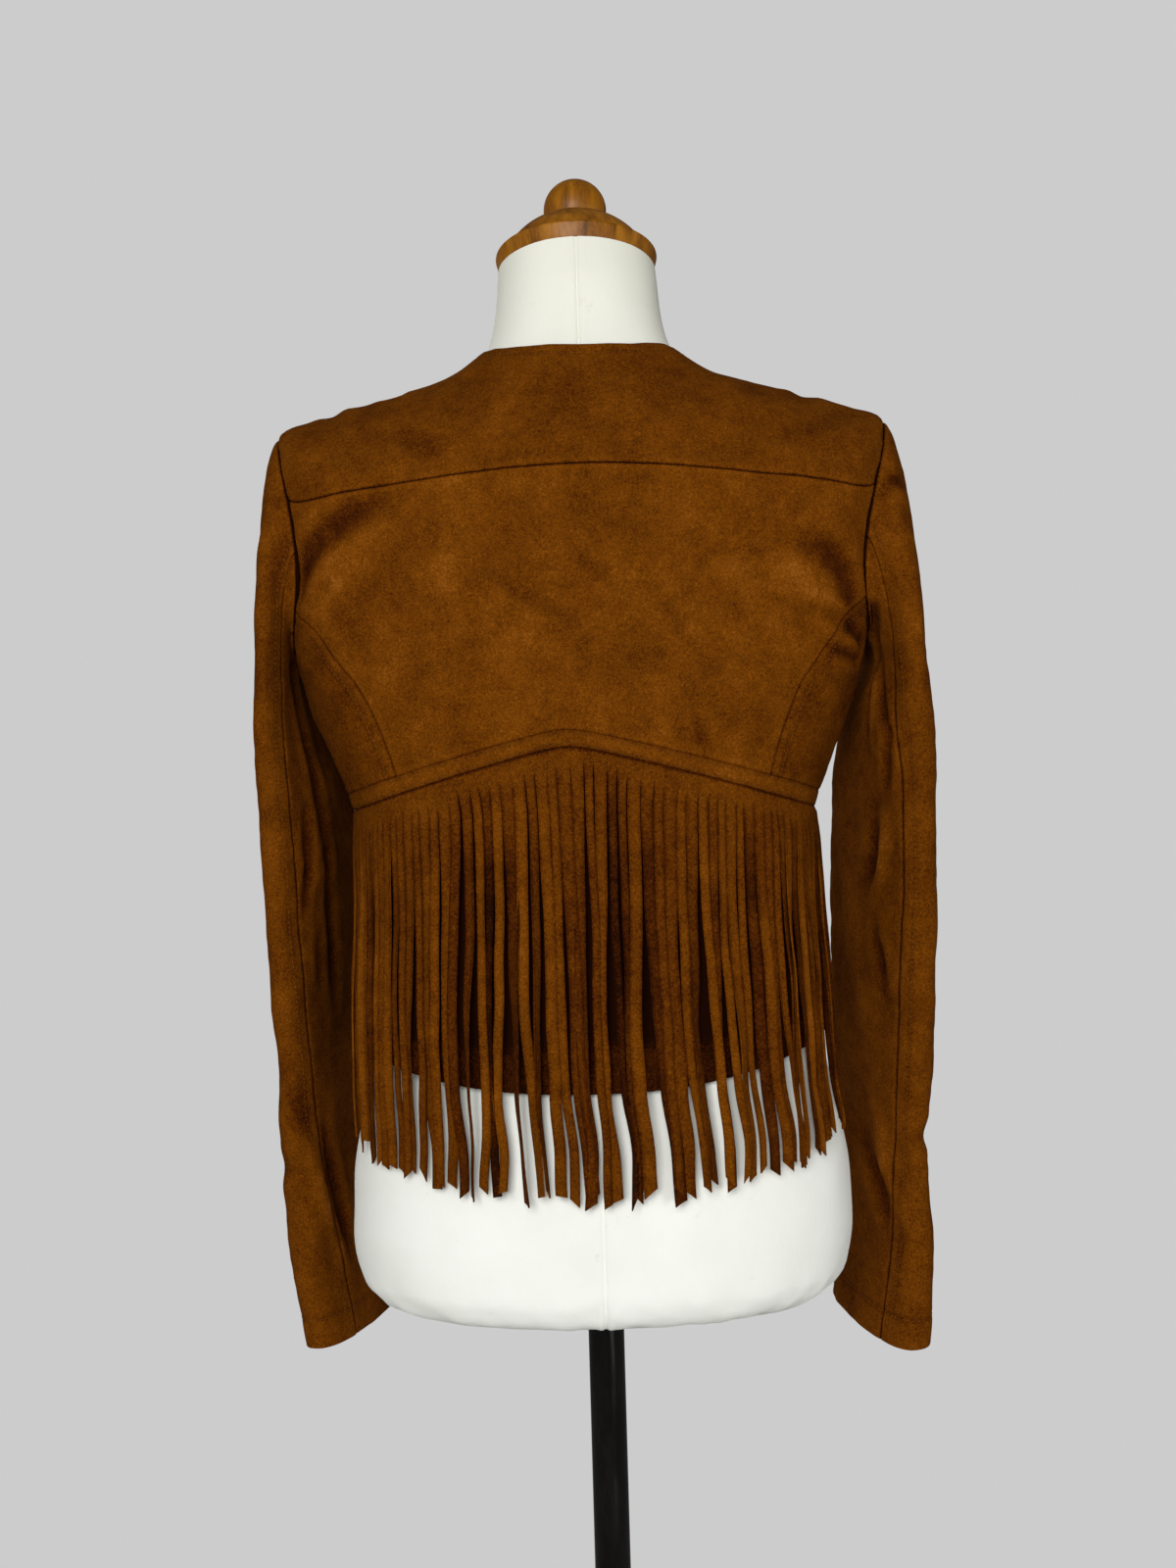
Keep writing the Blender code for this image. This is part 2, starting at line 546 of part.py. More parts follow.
def sleeve_ring(rows, angles, z_at, tilt):
    """Flattened, turned section: outer at 0 degrees, back at 90, inner at 180, front at 270.

    The points between the outer side and the forearm seam spread so that one of them
    lies on the hindarm seam.
    """
    value = {name: float(smooth(-rows["z"], rows[name], -z_at)) for name in rows}
    angle = np.radians(np.interp(angles, [0, HINDARM_ANGLE, FOREARM_ANGLE, 360],
                                 [0, value["seam"], FOREARM_ANGLE, 360]))
    swing = math.radians(value["turn"])
    power = SLEEVE_BOXY / (SLEEVE_BOXY - 1)
    reach, lean = (value["outer"] - value["inner"]) / 2, value["long"] * math.sin(swing)
    thick = (reach ** power - lean ** power) ** (1 / power) / math.cos(swing)
    size = (np.abs(np.cos(angle)) ** SLEEVE_BOXY + np.abs(np.sin(angle)) ** SLEEVE_BOXY) ** (-1 / SLEEVE_BOXY)
    flat, deep = thick * size * np.cos(angle), value["long"] * size * np.sin(angle)
    x = (value["outer"] + value["inner"]) / 2 + flat * math.cos(swing) + deep * math.sin(swing)
    y = value["middle_y"] - flat * math.sin(swing) + deep * math.cos(swing)
    return np.stack([x, y, z_at - tilt * y], axis=-1)


def sleeve_grid(rows, side, tilt, angles):
    """Sleeve from its armhole to its cuff: the cap is a Hermite blend into the first ring."""
    top_z, cuff_z = rows["z"][0], rows["z"][-1]
    angle = np.radians(np.asarray(angles, dtype=float))
    loop = armhole(angles, side)
    edge = body_point(loop[:, 0], loop[:, 1])
    edge[:, 0] *= side
    fold = np.clip((80.0 - np.abs(np.degrees(angle) - 180.0)) / 60.0, 0, 1)
    fold = (fold * fold * (3 - 2 * fold))[:, None]
    aside = np.array([1.0, 0.0, 0.0])
    edge += aside * (CAP_CLEAR * (1 - fold) + (WALL + 2 * GAP) * fold)
    ring = sleeve_ring(rows, angles, top_z, 0.0)
    reach = np.linalg.norm(ring - edge, axis=-1, keepdims=True)
    low = (1 - np.cos(angle))[:, None] / 2
    leave = reach * CAP_OUT * (aside * (1 - fold) + np.array([0.0, 0.0, -1.0]) * (fold + low + 0.2))
    arrive = reach * CAP_DOWN * np.array([0.0, 0.0, -1.0])
    grid = []
    for f in np.linspace(0, 1, CAP_STEPS + 1)[:-1]:
        grid.append((2 * f ** 3 - 3 * f ** 2 + 1) * edge + (f ** 3 - 2 * f ** 2 + f) * leave
                    + (3 * f ** 2 - 2 * f ** 3) * ring + (f ** 3 - f ** 2) * arrive)
    for part in np.linspace(0, 1, SLEEVE_STEPS + 1):
        grid.append(sleeve_ring(rows, angles, top_z + (cuff_z - top_z) * part, tilt * part))
    return np.array(grid)


def grid_normals(points):
    """Unit normals of a grid, from its own neighbours."""
    along = np.gradient(points, axis=1)
    down = np.gradient(points, axis=0)
    cross = np.cross(along, down)
    return cross / np.linalg.norm(cross, axis=-1, keepdims=True)


def make_sleeve(side, rows, tilt, letter):
    """Upper and under sleeve, cut from one tube along the hindarm and the forearm seam."""
    back = sorted(ARMHOLE_BACK_POINTS)
    angles = back + list(ARMHOLE_FRONT_POINTS[1:])
    tube = sleeve_grid(rows, side, tilt, angles)
    wrapped = np.concatenate([tube[:, -2:-1], tube, tube[:, 1:2]], axis=1)
    outward = grid_normals(wrapped)[:, 1:-1]
    centre = tube[:, :-1].mean(axis=1, keepdims=True)
    outward *= np.sign(np.sum(outward * (tube - centre), axis=-1).mean())
    first, second = angles.index(HINDARM_ANGLE), angles.index(FOREARM_ANGLE)
    upper = list(range(second, len(angles) - 1)) + list(range(0, first + 1))
    under = list(range(first, second + 1))
    for name, columns in (("sleeve_upper_", upper), ("sleeve_under_", under)):
        points = drawn_in(tube[:, columns], ("left", "right"), SLEEVE_GAP)
        facing = outward[:, columns]
        mirror = np.array([side, 1.0, 1.0])
        sheet(name + letter, points * mirror, facing * mirror, WALL)


# ---- Dress form ---------------------------------------------------------------------------------
def make_form():
    """Covered torso: stacked rings, closed at the hips and at the tilted top of the neck."""
    levels = np.array(FORM_RING_LEVELS)
    turn = np.linspace(0, 360, FORM_SIDES, endpoint=False)
    turn = (turn + 180) % 360 - 180
    points = form_point(turn[None, :], levels[:, None]).reshape(-1, 3)
    solid("form_torso", points, tube_faces(len(levels), FORM_SIDES), COVER_CLOTH)


def make_wood():
    """Neck cap and ball finial, on the tilted axis of the neck."""
    lean = math.radians(NECK_TILT)
    axis = np.array([0.0, -math.sin(lean), math.cos(lean)])
    foot = np.array([0.0, 0.0, NECK_TOP_Z]) + axis * GAP
    dome = [(r, CAP_DOME_FOOT + CAP_DOME_HEIGHT * math.sqrt(1 - (r / CAP_DOME_RADIUS) ** 2))
            for r in CAP_DOME_RADII]
    turned("neck_cap", CAP_BAND + tuple(dome), TURNED_SIDES, TURNED_WOOD, NECK_TILT, foot)
    seat = dome[-1][1] + GAP
    start = math.acos((FINIAL_CENTRE - seat) / FINIAL_RADIUS)
    angle = np.linspace(start, math.radians(174), 10)
    ball = [(FINIAL_RADIUS * math.sin(a), FINIAL_CENTRE - FINIAL_RADIUS * math.cos(a)) for a in angle]
    turned("finial", ball, FINIAL_SIDES, TURNED_WOOD, NECK_TILT, foot)


def make_stand():
    """Pole and plain round base."""
    bottom = FORM_ROWS[0][1]
    pole = ((POLE_RADIUS, BASE_COLLAR_Z + GAP), (POLE_RADIUS, bottom - GAP))
    turned("pole", pole, POLE_SIDES, BLACK_ENAMEL)
    base = ((BASE_RADIUS, 0.0), (BASE_RADIUS, BASE_EDGE), (BASE_RADIUS * 0.96, BASE_EDGE * 1.6),
            (BASE_COLLAR * 1.5, BASE_HEIGHT), (BASE_COLLAR, BASE_HEIGHT * 1.3),
            (BASE_COLLAR * 0.85, BASE_COLLAR_Z))
    turned("base", base, BASE_SIDES, BLACK_ENAMEL)


def main():
    for item in list(bpy.data.objects):
        bpy.data.objects.remove(item, do_unlink=True)
    make_yoke()
    make_back_centre()
    make_back_side(1, "back_side_L")
    make_back_side(-1, "back_side_R")
    make_band()
    make_back_lower()
    make_fringe()
    make_front(1, "front_L")
    make_front(-1, "front_R")
    make_sleeve(1, table(SLEEVE_COLUMNS, LEFT_SLEEVE_ROWS), LEFT_CUFF_TILT, "L")
    make_sleeve(-1, table(SLEEVE_COLUMNS, RIGHT_SLEEVE_ROWS), RIGHT_CUFF_TILT, "R")
    make_form()
    make_wood()
    make_stand()


main()
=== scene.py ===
"""Looks of a cropped suede jacket with a fringed back, on a limbless dress form.

Frame: metres, +Z up, origin on the floor under the pole. The wearer's back
faces +Y and the wearer's left is +X. Every panel is a fine grid on the same
body, sleeve and fringe surfaces that the solids were cut from, with creases,
rolled seams and stitching added, and then closed to a thin wall of suede.
"""

import math

import bpy
import numpy as np
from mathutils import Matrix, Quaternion, Vector


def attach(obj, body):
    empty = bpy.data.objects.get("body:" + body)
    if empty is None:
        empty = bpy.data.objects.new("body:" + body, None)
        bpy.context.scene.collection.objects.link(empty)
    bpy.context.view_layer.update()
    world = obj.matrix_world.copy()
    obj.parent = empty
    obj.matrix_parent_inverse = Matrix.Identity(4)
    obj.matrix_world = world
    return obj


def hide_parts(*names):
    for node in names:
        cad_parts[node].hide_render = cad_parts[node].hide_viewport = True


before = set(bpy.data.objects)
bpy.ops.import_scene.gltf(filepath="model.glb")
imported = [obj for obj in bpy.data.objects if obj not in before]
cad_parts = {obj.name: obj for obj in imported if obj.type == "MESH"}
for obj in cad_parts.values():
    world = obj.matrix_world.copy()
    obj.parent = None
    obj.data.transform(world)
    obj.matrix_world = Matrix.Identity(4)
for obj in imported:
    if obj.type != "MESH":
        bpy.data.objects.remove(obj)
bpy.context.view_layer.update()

# ---- Jacket body: one row for each ring, hem to neckline ----
# level: place of the ring on the way up. back_z, side_z, front_z: its heights.
# half: half width. back, front: its depths. shift: sideways offset to the left.
# boxy: power of the superellipse (2 is an ellipse).
BODY_COLUMNS = ("level", "back_z", "side_z", "front_z", "half", "back", "front", "shift", "boxy")
BODY_ROWS = (
    (0.930, 0.928, 0.957, 0.940, 0.1580, 0.1120, 0.1120, 0.004, 2.3),   # hem
    (0.990, 0.990, 0.998, 0.994, 0.1555, 0.1075, 0.1080, 0.004, 2.3),
    (1.050, 1.050, 1.050, 1.050, 0.1525, 0.0990, 0.1040, 0.004, 2.3),
    (1.100, 1.100, 1.100, 1.100, 0.1538, 0.0930, 0.1030, 0.004, 2.3),   # waist
    (1.120, 1.120, 1.120, 1.120, 0.1595, 0.0925, 0.1040, 0.004, 2.35),
    (1.145, 1.145, 1.145, 1.145, 0.1690, 0.0920, 0.1060, 0.004, 2.4),
    (1.175, 1.175, 1.175, 1.175, 0.1810, 0.0925, 0.1100, 0.004, 2.5),
    (1.215, 1.215, 1.212, 1.212, 0.1900, 0.0940, 0.1140, 0.004, 2.7),   # armpit
    (1.300, 1.285, 1.357, 1.270, 0.2005, 0.0935, 0.1100, 0.000, 3.0),   # shoulder tip
    (1.330, 1.315, 1.371, 1.292, 0.1670, 0.0890, 0.1040, 0.000, 2.8),
    (1.360, 1.347, 1.382, 1.315, 0.1250, 0.0810, 0.0940, 0.000, 2.5),
    (1.385, 1.378, 1.393, 1.338, 0.0900, 0.0680, 0.0820, 0.000, 2.2),
    (1.410, 1.404, 1.409, 1.360, 0.0660, 0.0560, 0.0705, 0.000, 2.0),   # neckline
)
HEM, ARMPIT, SHOULDER_TIP, NECKLINE = 0.930, 1.215, 1.300, 1.410

# ---- Seams on the body ----
LINE_POINTS = 160        # points of a seam line before it is spaced out
YOKE_LEVEL, BAND_LEVEL = 1.29, 1.13     # levels at which the seams' half widths are read
YOKE_SEAM_Z, YOKE_SEAM_DROP, YOKE_HALF = 1.3227, 0.0200, 0.187
BAND_PEAK_X, BAND_PEAK_Z = 0.0145, 1.1545
BAND_SLOPE, BAND_ROUND, BAND_WIDTH = 0.262, 0.010, 0.0105
ARMHOLE_BACK, ARMHOLE_FRONT = 30.0, 34.0
OPENING_NECK, OPENING_HEM = 4.0, 7.0
# Armhole points, degrees round the loop: 0 at the shoulder tip, 180 at the armpit.
YOKE_ANGLE, HINDARM_ANGLE, PRINCESS_ANGLE, FOREARM_ANGLE = 65, 92, 125, 250
PRINCESS_COLUMNS = ("part", "level", "turn")
PRINCESS_ROWS = (
    (0.00, 1.2331, 65.4),
    (0.15, 1.2240, 55.5),
    (0.35, 1.2030, 49.5),
    (0.55, 1.1830, 45.8),
    (0.75, 1.1600, 44.4),
    (1.00, 1.1250, 44.6),
)

# ---- Fringe: the surface in which the strips hang ----
FRINGE_COLUMNS = ("z", "half", "back", "shift")
FRINGE_ROWS = (
    (0.850, 0.1670, 0.1240, 0.000),
    (0.890, 0.1652, 0.1215, 0.000),
    (0.930, 0.1622, 0.1175, 0.003),
    (0.990, 0.1590, 0.1125, 0.004),
    (1.050, 0.1556, 0.1035, 0.004),
    (1.100, 0.1566, 0.0970, 0.004),
    (1.120, 0.1625, 0.0965, 0.004),
    (1.145, 0.1720, 0.0960, 0.004),
)
FRINGE_BOXY, FRINGE_TURN, FRINGE_TIP_TURN = 2.3, 84.0, 73.0
FRINGE_TIP_Z, FRINGE_TIP_RISE = 0.861, 0.028
FRINGE_STRIPS = 64
FRINGE_STATIONS = 62
FRINGE_SLIM = (0.84, 1.00)              # width that a strip keeps below its cut
FRINGE_TWIST, FRINGE_BOLD = 18.0, 0.20  # spread of the twist in degrees, share twisted far
FRINGE_LAYER = 0.0014                   # every other strip hangs this much further out
# Painted shade: the strips darken towards their cut edges, in the gaps where they part and curl.
FRINGE_EDGE_SHADE = 0.17                 # darkening towards the cut edges

# ---- Sleeves: one row for each ring, below the armpit ----
SLEEVE_BOXY = 2.5
SLEEVE_COLUMNS = ("z", "outer", "inner", "middle_y", "long", "turn", "seam")
LEFT_SLEEVE_ROWS = (
    (1.196, 0.2170, 0.1948, -0.0040, 0.0640, 4.0, 140.0),
    (1.165, 0.2175, 0.1855, -0.0050, 0.0690, 8.0, 136.0),
    (1.120, 0.2163, 0.1700, -0.0070, 0.0700, 14.0, 132.0),
    (1.060, 0.2148, 0.1655, -0.0120, 0.0690, 15.0, 132.0),
    (1.000, 0.2145, 0.1655, -0.0220, 0.0670, 15.5, 134.0),
    (0.930, 0.2125, 0.1650, -0.0360, 0.0640, 16.0, 136.0),
    (0.877, 0.2155, 0.1650, -0.0480, 0.0620, 16.0, 140.0),
    (0.810, 0.2135, 0.1620, -0.0600, 0.0600, 17.0, 150.0),
    (0.742, 0.2045, 0.1560, -0.0670, 0.0600, 17.0, 158.0),
)
RIGHT_SLEEVE_ROWS = (
    (1.196, 0.2215, 0.1905, -0.0040, 0.0640, 5.0, 135.0),
    (1.152, 0.2245, 0.1750, -0.0050, 0.0690, 12.0, 130.0),
    (1.110, 0.2240, 0.1700, -0.0080, 0.0700, 15.0, 126.0),
    (1.060, 0.2236, 0.1685, -0.0120, 0.0690, 16.0, 126.0),
    (1.000, 0.2235, 0.1670, -0.0200, 0.0670, 16.5, 128.0),
    (0.930, 0.2222, 0.1670, -0.0330, 0.0640, 17.0, 130.0),
    (0.874, 0.2175, 0.1710, -0.0440, 0.0620, 16.0, 134.0),
    (0.805, 0.2230, 0.1710, -0.0530, 0.0600, 17.0, 140.0),
    (0.733, 0.2195, 0.1650, -0.0570, 0.0600, 17.0, 146.0),
)
LEFT_CUFF_TILT, RIGHT_CUFF_TILT = 0.04, 0.15
CAP_CLEAR, CAP_OUT, CAP_DOWN = 0.0012, 0.22, 1.15
CAP_TUCK = 0.0021        # the sleeve's edge stands this far out at the armpit
CAP_LENGTH = 0.12        # length of the cap by which its rows are spaced

# ---- Dress form ----
FORM_COLUMNS = ("level", "back_z", "side_z", "front_z", "half", "back", "front", "boxy", "saddle")
FORM_ROWS = (
    (0.7800, 0.7800, 0.7800, 0.7800, 0.1400, 0.1000, 0.0880, 2.3, 2.0),
    (0.7860, 0.7860, 0.7860, 0.7860, 0.1515, 0.1080, 0.0960, 2.3, 2.0),
    (0.8000, 0.8000, 0.8000, 0.8000, 0.1620, 0.1145, 0.1025, 2.3, 2.0),
    (0.8300, 0.8300, 0.8300, 0.8300, 0.1667, 0.1172, 0.1060, 2.3, 2.0),   # hips
    (0.8650, 0.8650, 0.8650, 0.8650, 0.1652, 0.1155, 0.1055, 2.3, 2.0),
    (0.8950, 0.8950, 0.8950, 0.8950, 0.1605, 0.1110, 0.1035, 2.3, 2.0),
    (0.9300, 0.9300, 0.9300, 0.9300, 0.1530, 0.1055, 0.1000, 2.3, 2.0),
    (1.0000, 1.0000, 1.0000, 1.0000, 0.1370, 0.0910, 0.0930, 2.2, 2.0),
    (1.0700, 1.0700, 1.0700, 1.0700, 0.1260, 0.0800, 0.0870, 2.2, 2.0),   # waist
    (1.1400, 1.1400, 1.1400, 1.1400, 0.1420, 0.0820, 0.0930, 2.3, 2.0),
    (1.2150, 1.2150, 1.2120, 1.2120, 0.1720, 0.0870, 0.1040, 2.6, 2.0),   # chest
    (1.3000, 1.2800, 1.3430, 1.2640, 0.1850, 0.0860, 0.1010, 2.8, 2.0),   # shoulder tip
    (1.3300, 1.3100, 1.3610, 1.2870, 0.1560, 0.0820, 0.0950, 2.6, 2.0),
    (1.3600, 1.3420, 1.3755, 1.3110, 0.1170, 0.0735, 0.0850, 2.4, 2.0),
    (1.3850, 1.3730, 1.3905, 1.3340, 0.0830, 0.0610, 0.0730, 2.2, 2.0),
    (1.4100, 1.4020, 1.4090, 1.3620, 0.0625, 0.0515, 0.0620, 2.0, 1.8),   # foot of the neck
    (1.4350, 1.4380, 1.4330, 1.4050, 0.0560, 0.0505, 0.0545, 2.0, 1.4),
    (1.4640, 1.4752, 1.4640, 1.4528, 0.0527, 0.0515, 0.0515, 2.0, 1.0),   # top of the neck
)
NECK_TOP_Z, NECK_TILT = 1.464, 12.3
JOIN_GAP = 0.0003        # thin air between the parts that are stacked
CAP_BAND_OUTLINE = ((0.0500, 0.0), (0.0519, 0.0), (0.0543, 0.0094), (0.0541, 0.0104), (0.0528, 0.0112),
                    (0.0492, 0.0113))
CAP_DOME_RADIUS, CAP_DOME_HEIGHT, CAP_DOME_FOOT = 0.0535, 0.0490, -0.0084
FINIAL_RADIUS, FINIAL_CENTRE = 0.0212, 0.0455
POLE_RADIUS = 0.0120
BASE_RADIUS, BASE_EDGE, BASE_HEIGHT = 0.160, 0.006, 0.016
BASE_COLLAR, BASE_COLLAR_Z = 0.022, 0.045

# ---- Making of the cloth, metres ----
SUEDE_WALL = 0.0012
STRIP_WALL = 0.0011
GRID_STEP = 0.0034       # spacing of the panels' points away from the seams
SEAM_STEPS = (0.0, 0.0004, 0.0009, 0.0015, 0.0023, 0.0033, 0.0045)
SEAM_IN = 0.0003         # each panel stops this far short of its seam
ALLOWANCE = 0.0030       # turned in behind a seam
ROLL_DEPTH, ROLL_WIDTH = 0.0008, 0.0012
STITCH_SINK, STITCH_GROOVE = 0.00035, 0.0009
STITCH_PITCH, STITCH_LENGTH, STITCH_RADIUS = 0.0034, 0.0025, 0.00027
# Tone of the nap, with painted shade and light: what a metre of relief adds (darker in troughs, lighter on
# ridges), and how dark the lines are.
CREASE_SHADE, CREASE_LIMIT, UNEVEN_SHADE = 100, 0.003, 60
SEAM_LINE, STITCH_TONE = 0.0008, 0.15

# ---- Creases ----
# A crease runs between two places on its surface. bow: how far its middle lies off the
# straight line, in degrees. width and depth in millimetres, and a ridge has a negative
# depth. begin, finish: its part of a half wave along its length. 0 to 1, which is meant
# where they are left out, fades at both ends, and 0.5 to 1 starts full. On the body a
# place is a turn and a level, on a sleeve an angle and a height.
CREASE_POINTS = 15       # points of a crease's line
SLEEVE_DEPTH = 1.5       # the sleeves' creases are this much deeper than their rows say
CREASE_COLUMNS = ("turn_a", "high_a", "turn_b", "high_b", "bow", "width", "depth", "begin", "finish")
BACK_CREASES = (
    (35, 1.309, 62, 1.243, -3, 9, 4, 0.1, 0.66),
    (31, 1.291, 57, 1.226, -3, 11.5, -1.3, 0.05, 0.75),
    (50, 1.244, 41.5, 1.213, 0, 5, 0.7, 0.3, 1),
    (5, 1.296, -7, 1.247, 0.8, 4.8, 1.5),
    (-10, 1.257, -22.5, 1.194, -0.8, 4.8, 1.5),
    (17.5, 1.266, -2, 1.218, 1.5, 4.6, 1.3),
    (-17, 1.168, -21.5, 1.144, 0, 4.2, 1.8, 0, 0.8),
    (-21.6, 1.165, -26, 1.14, 0, 4.6, 2, 0, 0.8),
    (-11, 1.169, -14, 1.151, 0, 3.8, 0.7, 0, 0.85),
    (-43, 1.23, -68, 1.212, 1.5, 5, 3.4, 0.05, 0.72),
    (-36, 1.272, -60, 1.224, -2.5, 8, 3.4, 0.05, 0.74),
    (-29, 1.262, -52, 1.214, -2.5, 9.5, -2.2, 0, 0.85),
    (-48, 1.207, -67, 1.2, 0.5, 4.2, 2.4, 0.05, 0.7),
    (-24, 1.27, -33, 1.228, 0, 9, -1),
    (-52, 1.183, -64, 1.178, 0, 5, 0.8, 0, 0.85),
    (55, 1.205, 66, 1.196, 0, 6, 1, 0, 0.85),
    (30, 1.205, 36, 1.16, 1, 12, 1),
    (12, 1.215, 20, 1.175, 0, 14, -0.9),
    (-3, 1.205, -12, 1.18, 0, 12, 0.8),
    (22, 1.288, 28, 1.24, 0, 16, -1),
    (70, 1.362, 96, 1.358, 0, 6, 2.2),
    (68, 1.333, 97, 1.329, 0, 6, 2),
    (-68, 1.345, -98, 1.341, 0, 6, 1.8),
    (-44, 1.334, -70, 1.322, 1, 7, 1.2, 0, 0.9),
    (48, 1.346, 30, 1.338, 1, 8, 1),
)
FRONT_CREASES = (
    (124, 1.236, 150, 1.205, 2, 8, 2.6, 0.3, 1),
    (126, 1.252, 148, 1.262, -2, 8, 1.8, 0.25, 1),
    (-124, 1.23, -148, 1.212, -2, 8, 2.4, 0.3, 1),
    (-127, 1.256, -152, 1.246, 2, 7.5, 2, 0.25, 1),
    (152, 1.185, 156, 1.04, 2, 12, 2.6),
    (136, 1.165, 139, 1.01, -1.5, 12, 2.2),
    (-149, 1.18, -152, 1.02, -2, 13, 2.6),
    (-133, 1.15, -130, 0.985, 1.5, 11, 2),
    (100, 1.165, 114, 1.128, 1, 6.5, 1.8, 0.05, 1),
    (98, 1.125, 112, 1.104, 1, 6, 1.5, 0.1, 1),
    (-99, 1.158, -112, 1.12, -1, 6.5, 1.8, 0.05, 1),
    (-97, 1.118, -110, 1.098, -1, 6, 1.4, 0.1, 1),
    (118, 1.04, 121, 0.94, 1, 13, 2.4, 0, 0.6),
    (-117, 1.05, -121, 0.938, -1, 13, 2.4, 0, 0.6),
    (150, 1, 153, 0.936, 0, 13, -2.2, 0, 0.6),
    (-156, 1.01, -158, 0.936, 0, 13, -2, 0, 0.6),
    (112, 1.305, 138, 1.322, 1, 8, 1.8, 0.2, 1),
    (-112, 1.312, -136, 1.318, -1, 8, 1.6, 0.2, 1),
    (165, 1.335, 158, 1.25, 2, 11, 1.6),
    (-166, 1.325, -160, 1.235, -2, 11, 1.8),
)
LEFT_SLEEVE_CREASES = (
    (132, 1.2, 146, 1.075, 0, 7, 2, 0.2, 0.8),
    (146, 1.075, 143, 0.95, 0, 7, 1.8, 0.25, 1),
    (118, 1.118, 112, 1.066, 0, 5.5, 1.9, 0, 0.75),
    (112, 1.066, 99, 1.035, 0, 5.5, 1.6, 0.3, 1),
    (126, 1.04, 118, 0.985, 0, 6.5, 1.3),
    (100, 0.905, 113, 0.8, -3, 7, 2.7, 0.05, 0.85),
    (84, 0.89, 98, 0.795, -3, 7, -1.4, 0.05, 0.9),
    (74, 0.931, 93, 0.874, 0, 8, 1.4),
    (75, 1.28, 82, 1.225, 0, 7, 1),
    (40, 1.285, 10, 1.25, 3, 8, 1.3),
    (60, 0.875, 20, 0.862, 0, 8, 1.3),
    (30, 1.01, -20, 0.975, 3, 10, 1.4),
    (-25, 1.055, -75, 1.02, 3, 8, 2.6, 0, 0.9),
    (-35, 1.015, -88, 0.992, 2, 7.5, 3.2, 0, 0.9),
    (-28, 0.965, -80, 0.958, -2, 8, 2.6, 0, 0.9),
    (-20, 1.18, -60, 1.13, 4, 10, 2.2),
    (-60, 1.235, -85, 1.19, 3, 8, 2.4, 0.1, 1),
    (-10, 0.88, -50, 0.82, 4, 9, 2),
    (236, 1, 205, 1.03, 0, 7, 1.6),
    (238, 0.96, 200, 0.95, 0, 7, 1.4),
    (220, 0.86, 190, 0.8, 0, 8, 1.6),
)
RIGHT_SLEEVE_CREASES = (
    (128, 1.226, 142, 1.14, 0, 5, 2.4, 0.25, 1),
    (124, 1.205, 106, 1.146, 0, 4.6, 2, 0.1, 0.75),
    (106, 1.148, 118, 1.1, 0, 4.8, 2, 0.25, 1),
    (134, 1.214, 127, 1.128, 0, 6, -1.4, 0.1, 1),
    (128, 1.095, 149, 1.038, -3, 7.5, 2.6, 0.05, 1),
    (116, 1.105, 126, 1.05, 0, 8, -1.4),
    (130, 1.032, 106, 0.966, 4, 6, 1.8),
    (120, 1.015, 114, 0.985, 0, 5, 1),
    (150, 0.868, 88, 0.806, -5, 8.5, 2.8, 0, 0.95),
    (132, 0.9, 96, 0.835, -4, 9, -1.4),
    (70, 1.3, 20, 1.287, 3, 5.2, 1.9),
    (58, 1.272, 25, 1.262, 2, 7, 1),
    (78, 0.884, -30, 0.874, 6, 7, 1.2, 0.05, 0.95),
    (40, 1.06, -25, 1.04, 4, 11, 1.3),
    (-25, 1.05, -78, 1.022, 3, 8, 2.6, 0, 0.9),
    (-32, 1.008, -86, 0.996, 2, 7.5, 3.2, 0, 0.9),
    (-26, 0.966, -82, 0.955, -2, 8, 2.8, 0, 0.9),
    (-22, 1.176, -62, 1.122, 4, 10, 2.2),
    (-62, 1.238, -86, 1.195, 3, 8, 2.4, 0.1, 1),
    (-12, 0.83, -52, 0.79, 4, 9, 2),
    (236, 1.005, 206, 1.032, 0, 7, 1.6),
    (238, 0.955, 202, 0.946, 0, 7, 1.4),
    (222, 0.86, 192, 0.8, 0, 8, 1.6),
)

# ---- Finishes and studio ----
# Ramp of the suede's tone. Its darkest stops are reached where painted shade lowers the tone.
SUEDE_STOPS = ((0.0, "#1D0801"), (0.28, "#451D02"), (0.50, "#603203"), (0.70, "#753F06"), (1.0, "#995C20"))
# Patterns of the suede: name, size in millimetres, detail, weight and distortion.
SUEDE_PATTERNS = (
    ("hide", 34, 3, 0.42, 0.0),
    ("nap", 9, 4, 0.38, 0.3),
    ("grain", 1.7, 5, 0.72, 0.0),
    ("fibre", 0.9, 3, 0.85, 0.0),
)
CAMERA_PLACE = (0.0, 1.35, 1.12)
CAMERA_ROLL = 1.614      # degrees
CAMERA_LENS, CAMERA_SENSOR, CAMERA_SHIFT = 46.01, 36.0, -0.0019
# Soft lights: name, place, aim, size, power, and whether glossy surfaces mirror it.
LIGHTS = (
    ("key", (0.45, 2.5, 1.75), (0.0, 0.0, 1.05), 1.3, 55.0, True),
    ("fill", (-1.5, 2.1, 0.9), (0.0, 0.0, 1.0), 0.9, 14.0, True),
    ("left", (2.6, 0.2, 1.5), (0.1, 0.0, 1.1), 1.2, 9.0, False),
    ("right", (-2.6, 0.2, 1.5), (-0.1, 0.0, 1.1), 1.2, 9.0, False),
    ("front", (0.9, -2.4, 2.0), (0.0, 0.0, 1.1), 1.8, 48.0, False),
)


# ---- Curves ----
def table(columns, rows):
    """Named columns of a table, as arrays."""
    return dict(zip(columns, np.array(rows).T))


def hermite(part, start, end, leave, arrive):
    """Cubic curve from start to end, with its own slopes where it leaves and arrives."""
    return ((2 * part ** 3 - 3 * part ** 2 + 1) * start + (part ** 3 - 2 * part ** 2 + part) * leave
            + (3 * part ** 2 - 2 * part ** 3) * end + (part ** 3 - part ** 2) * arrive)


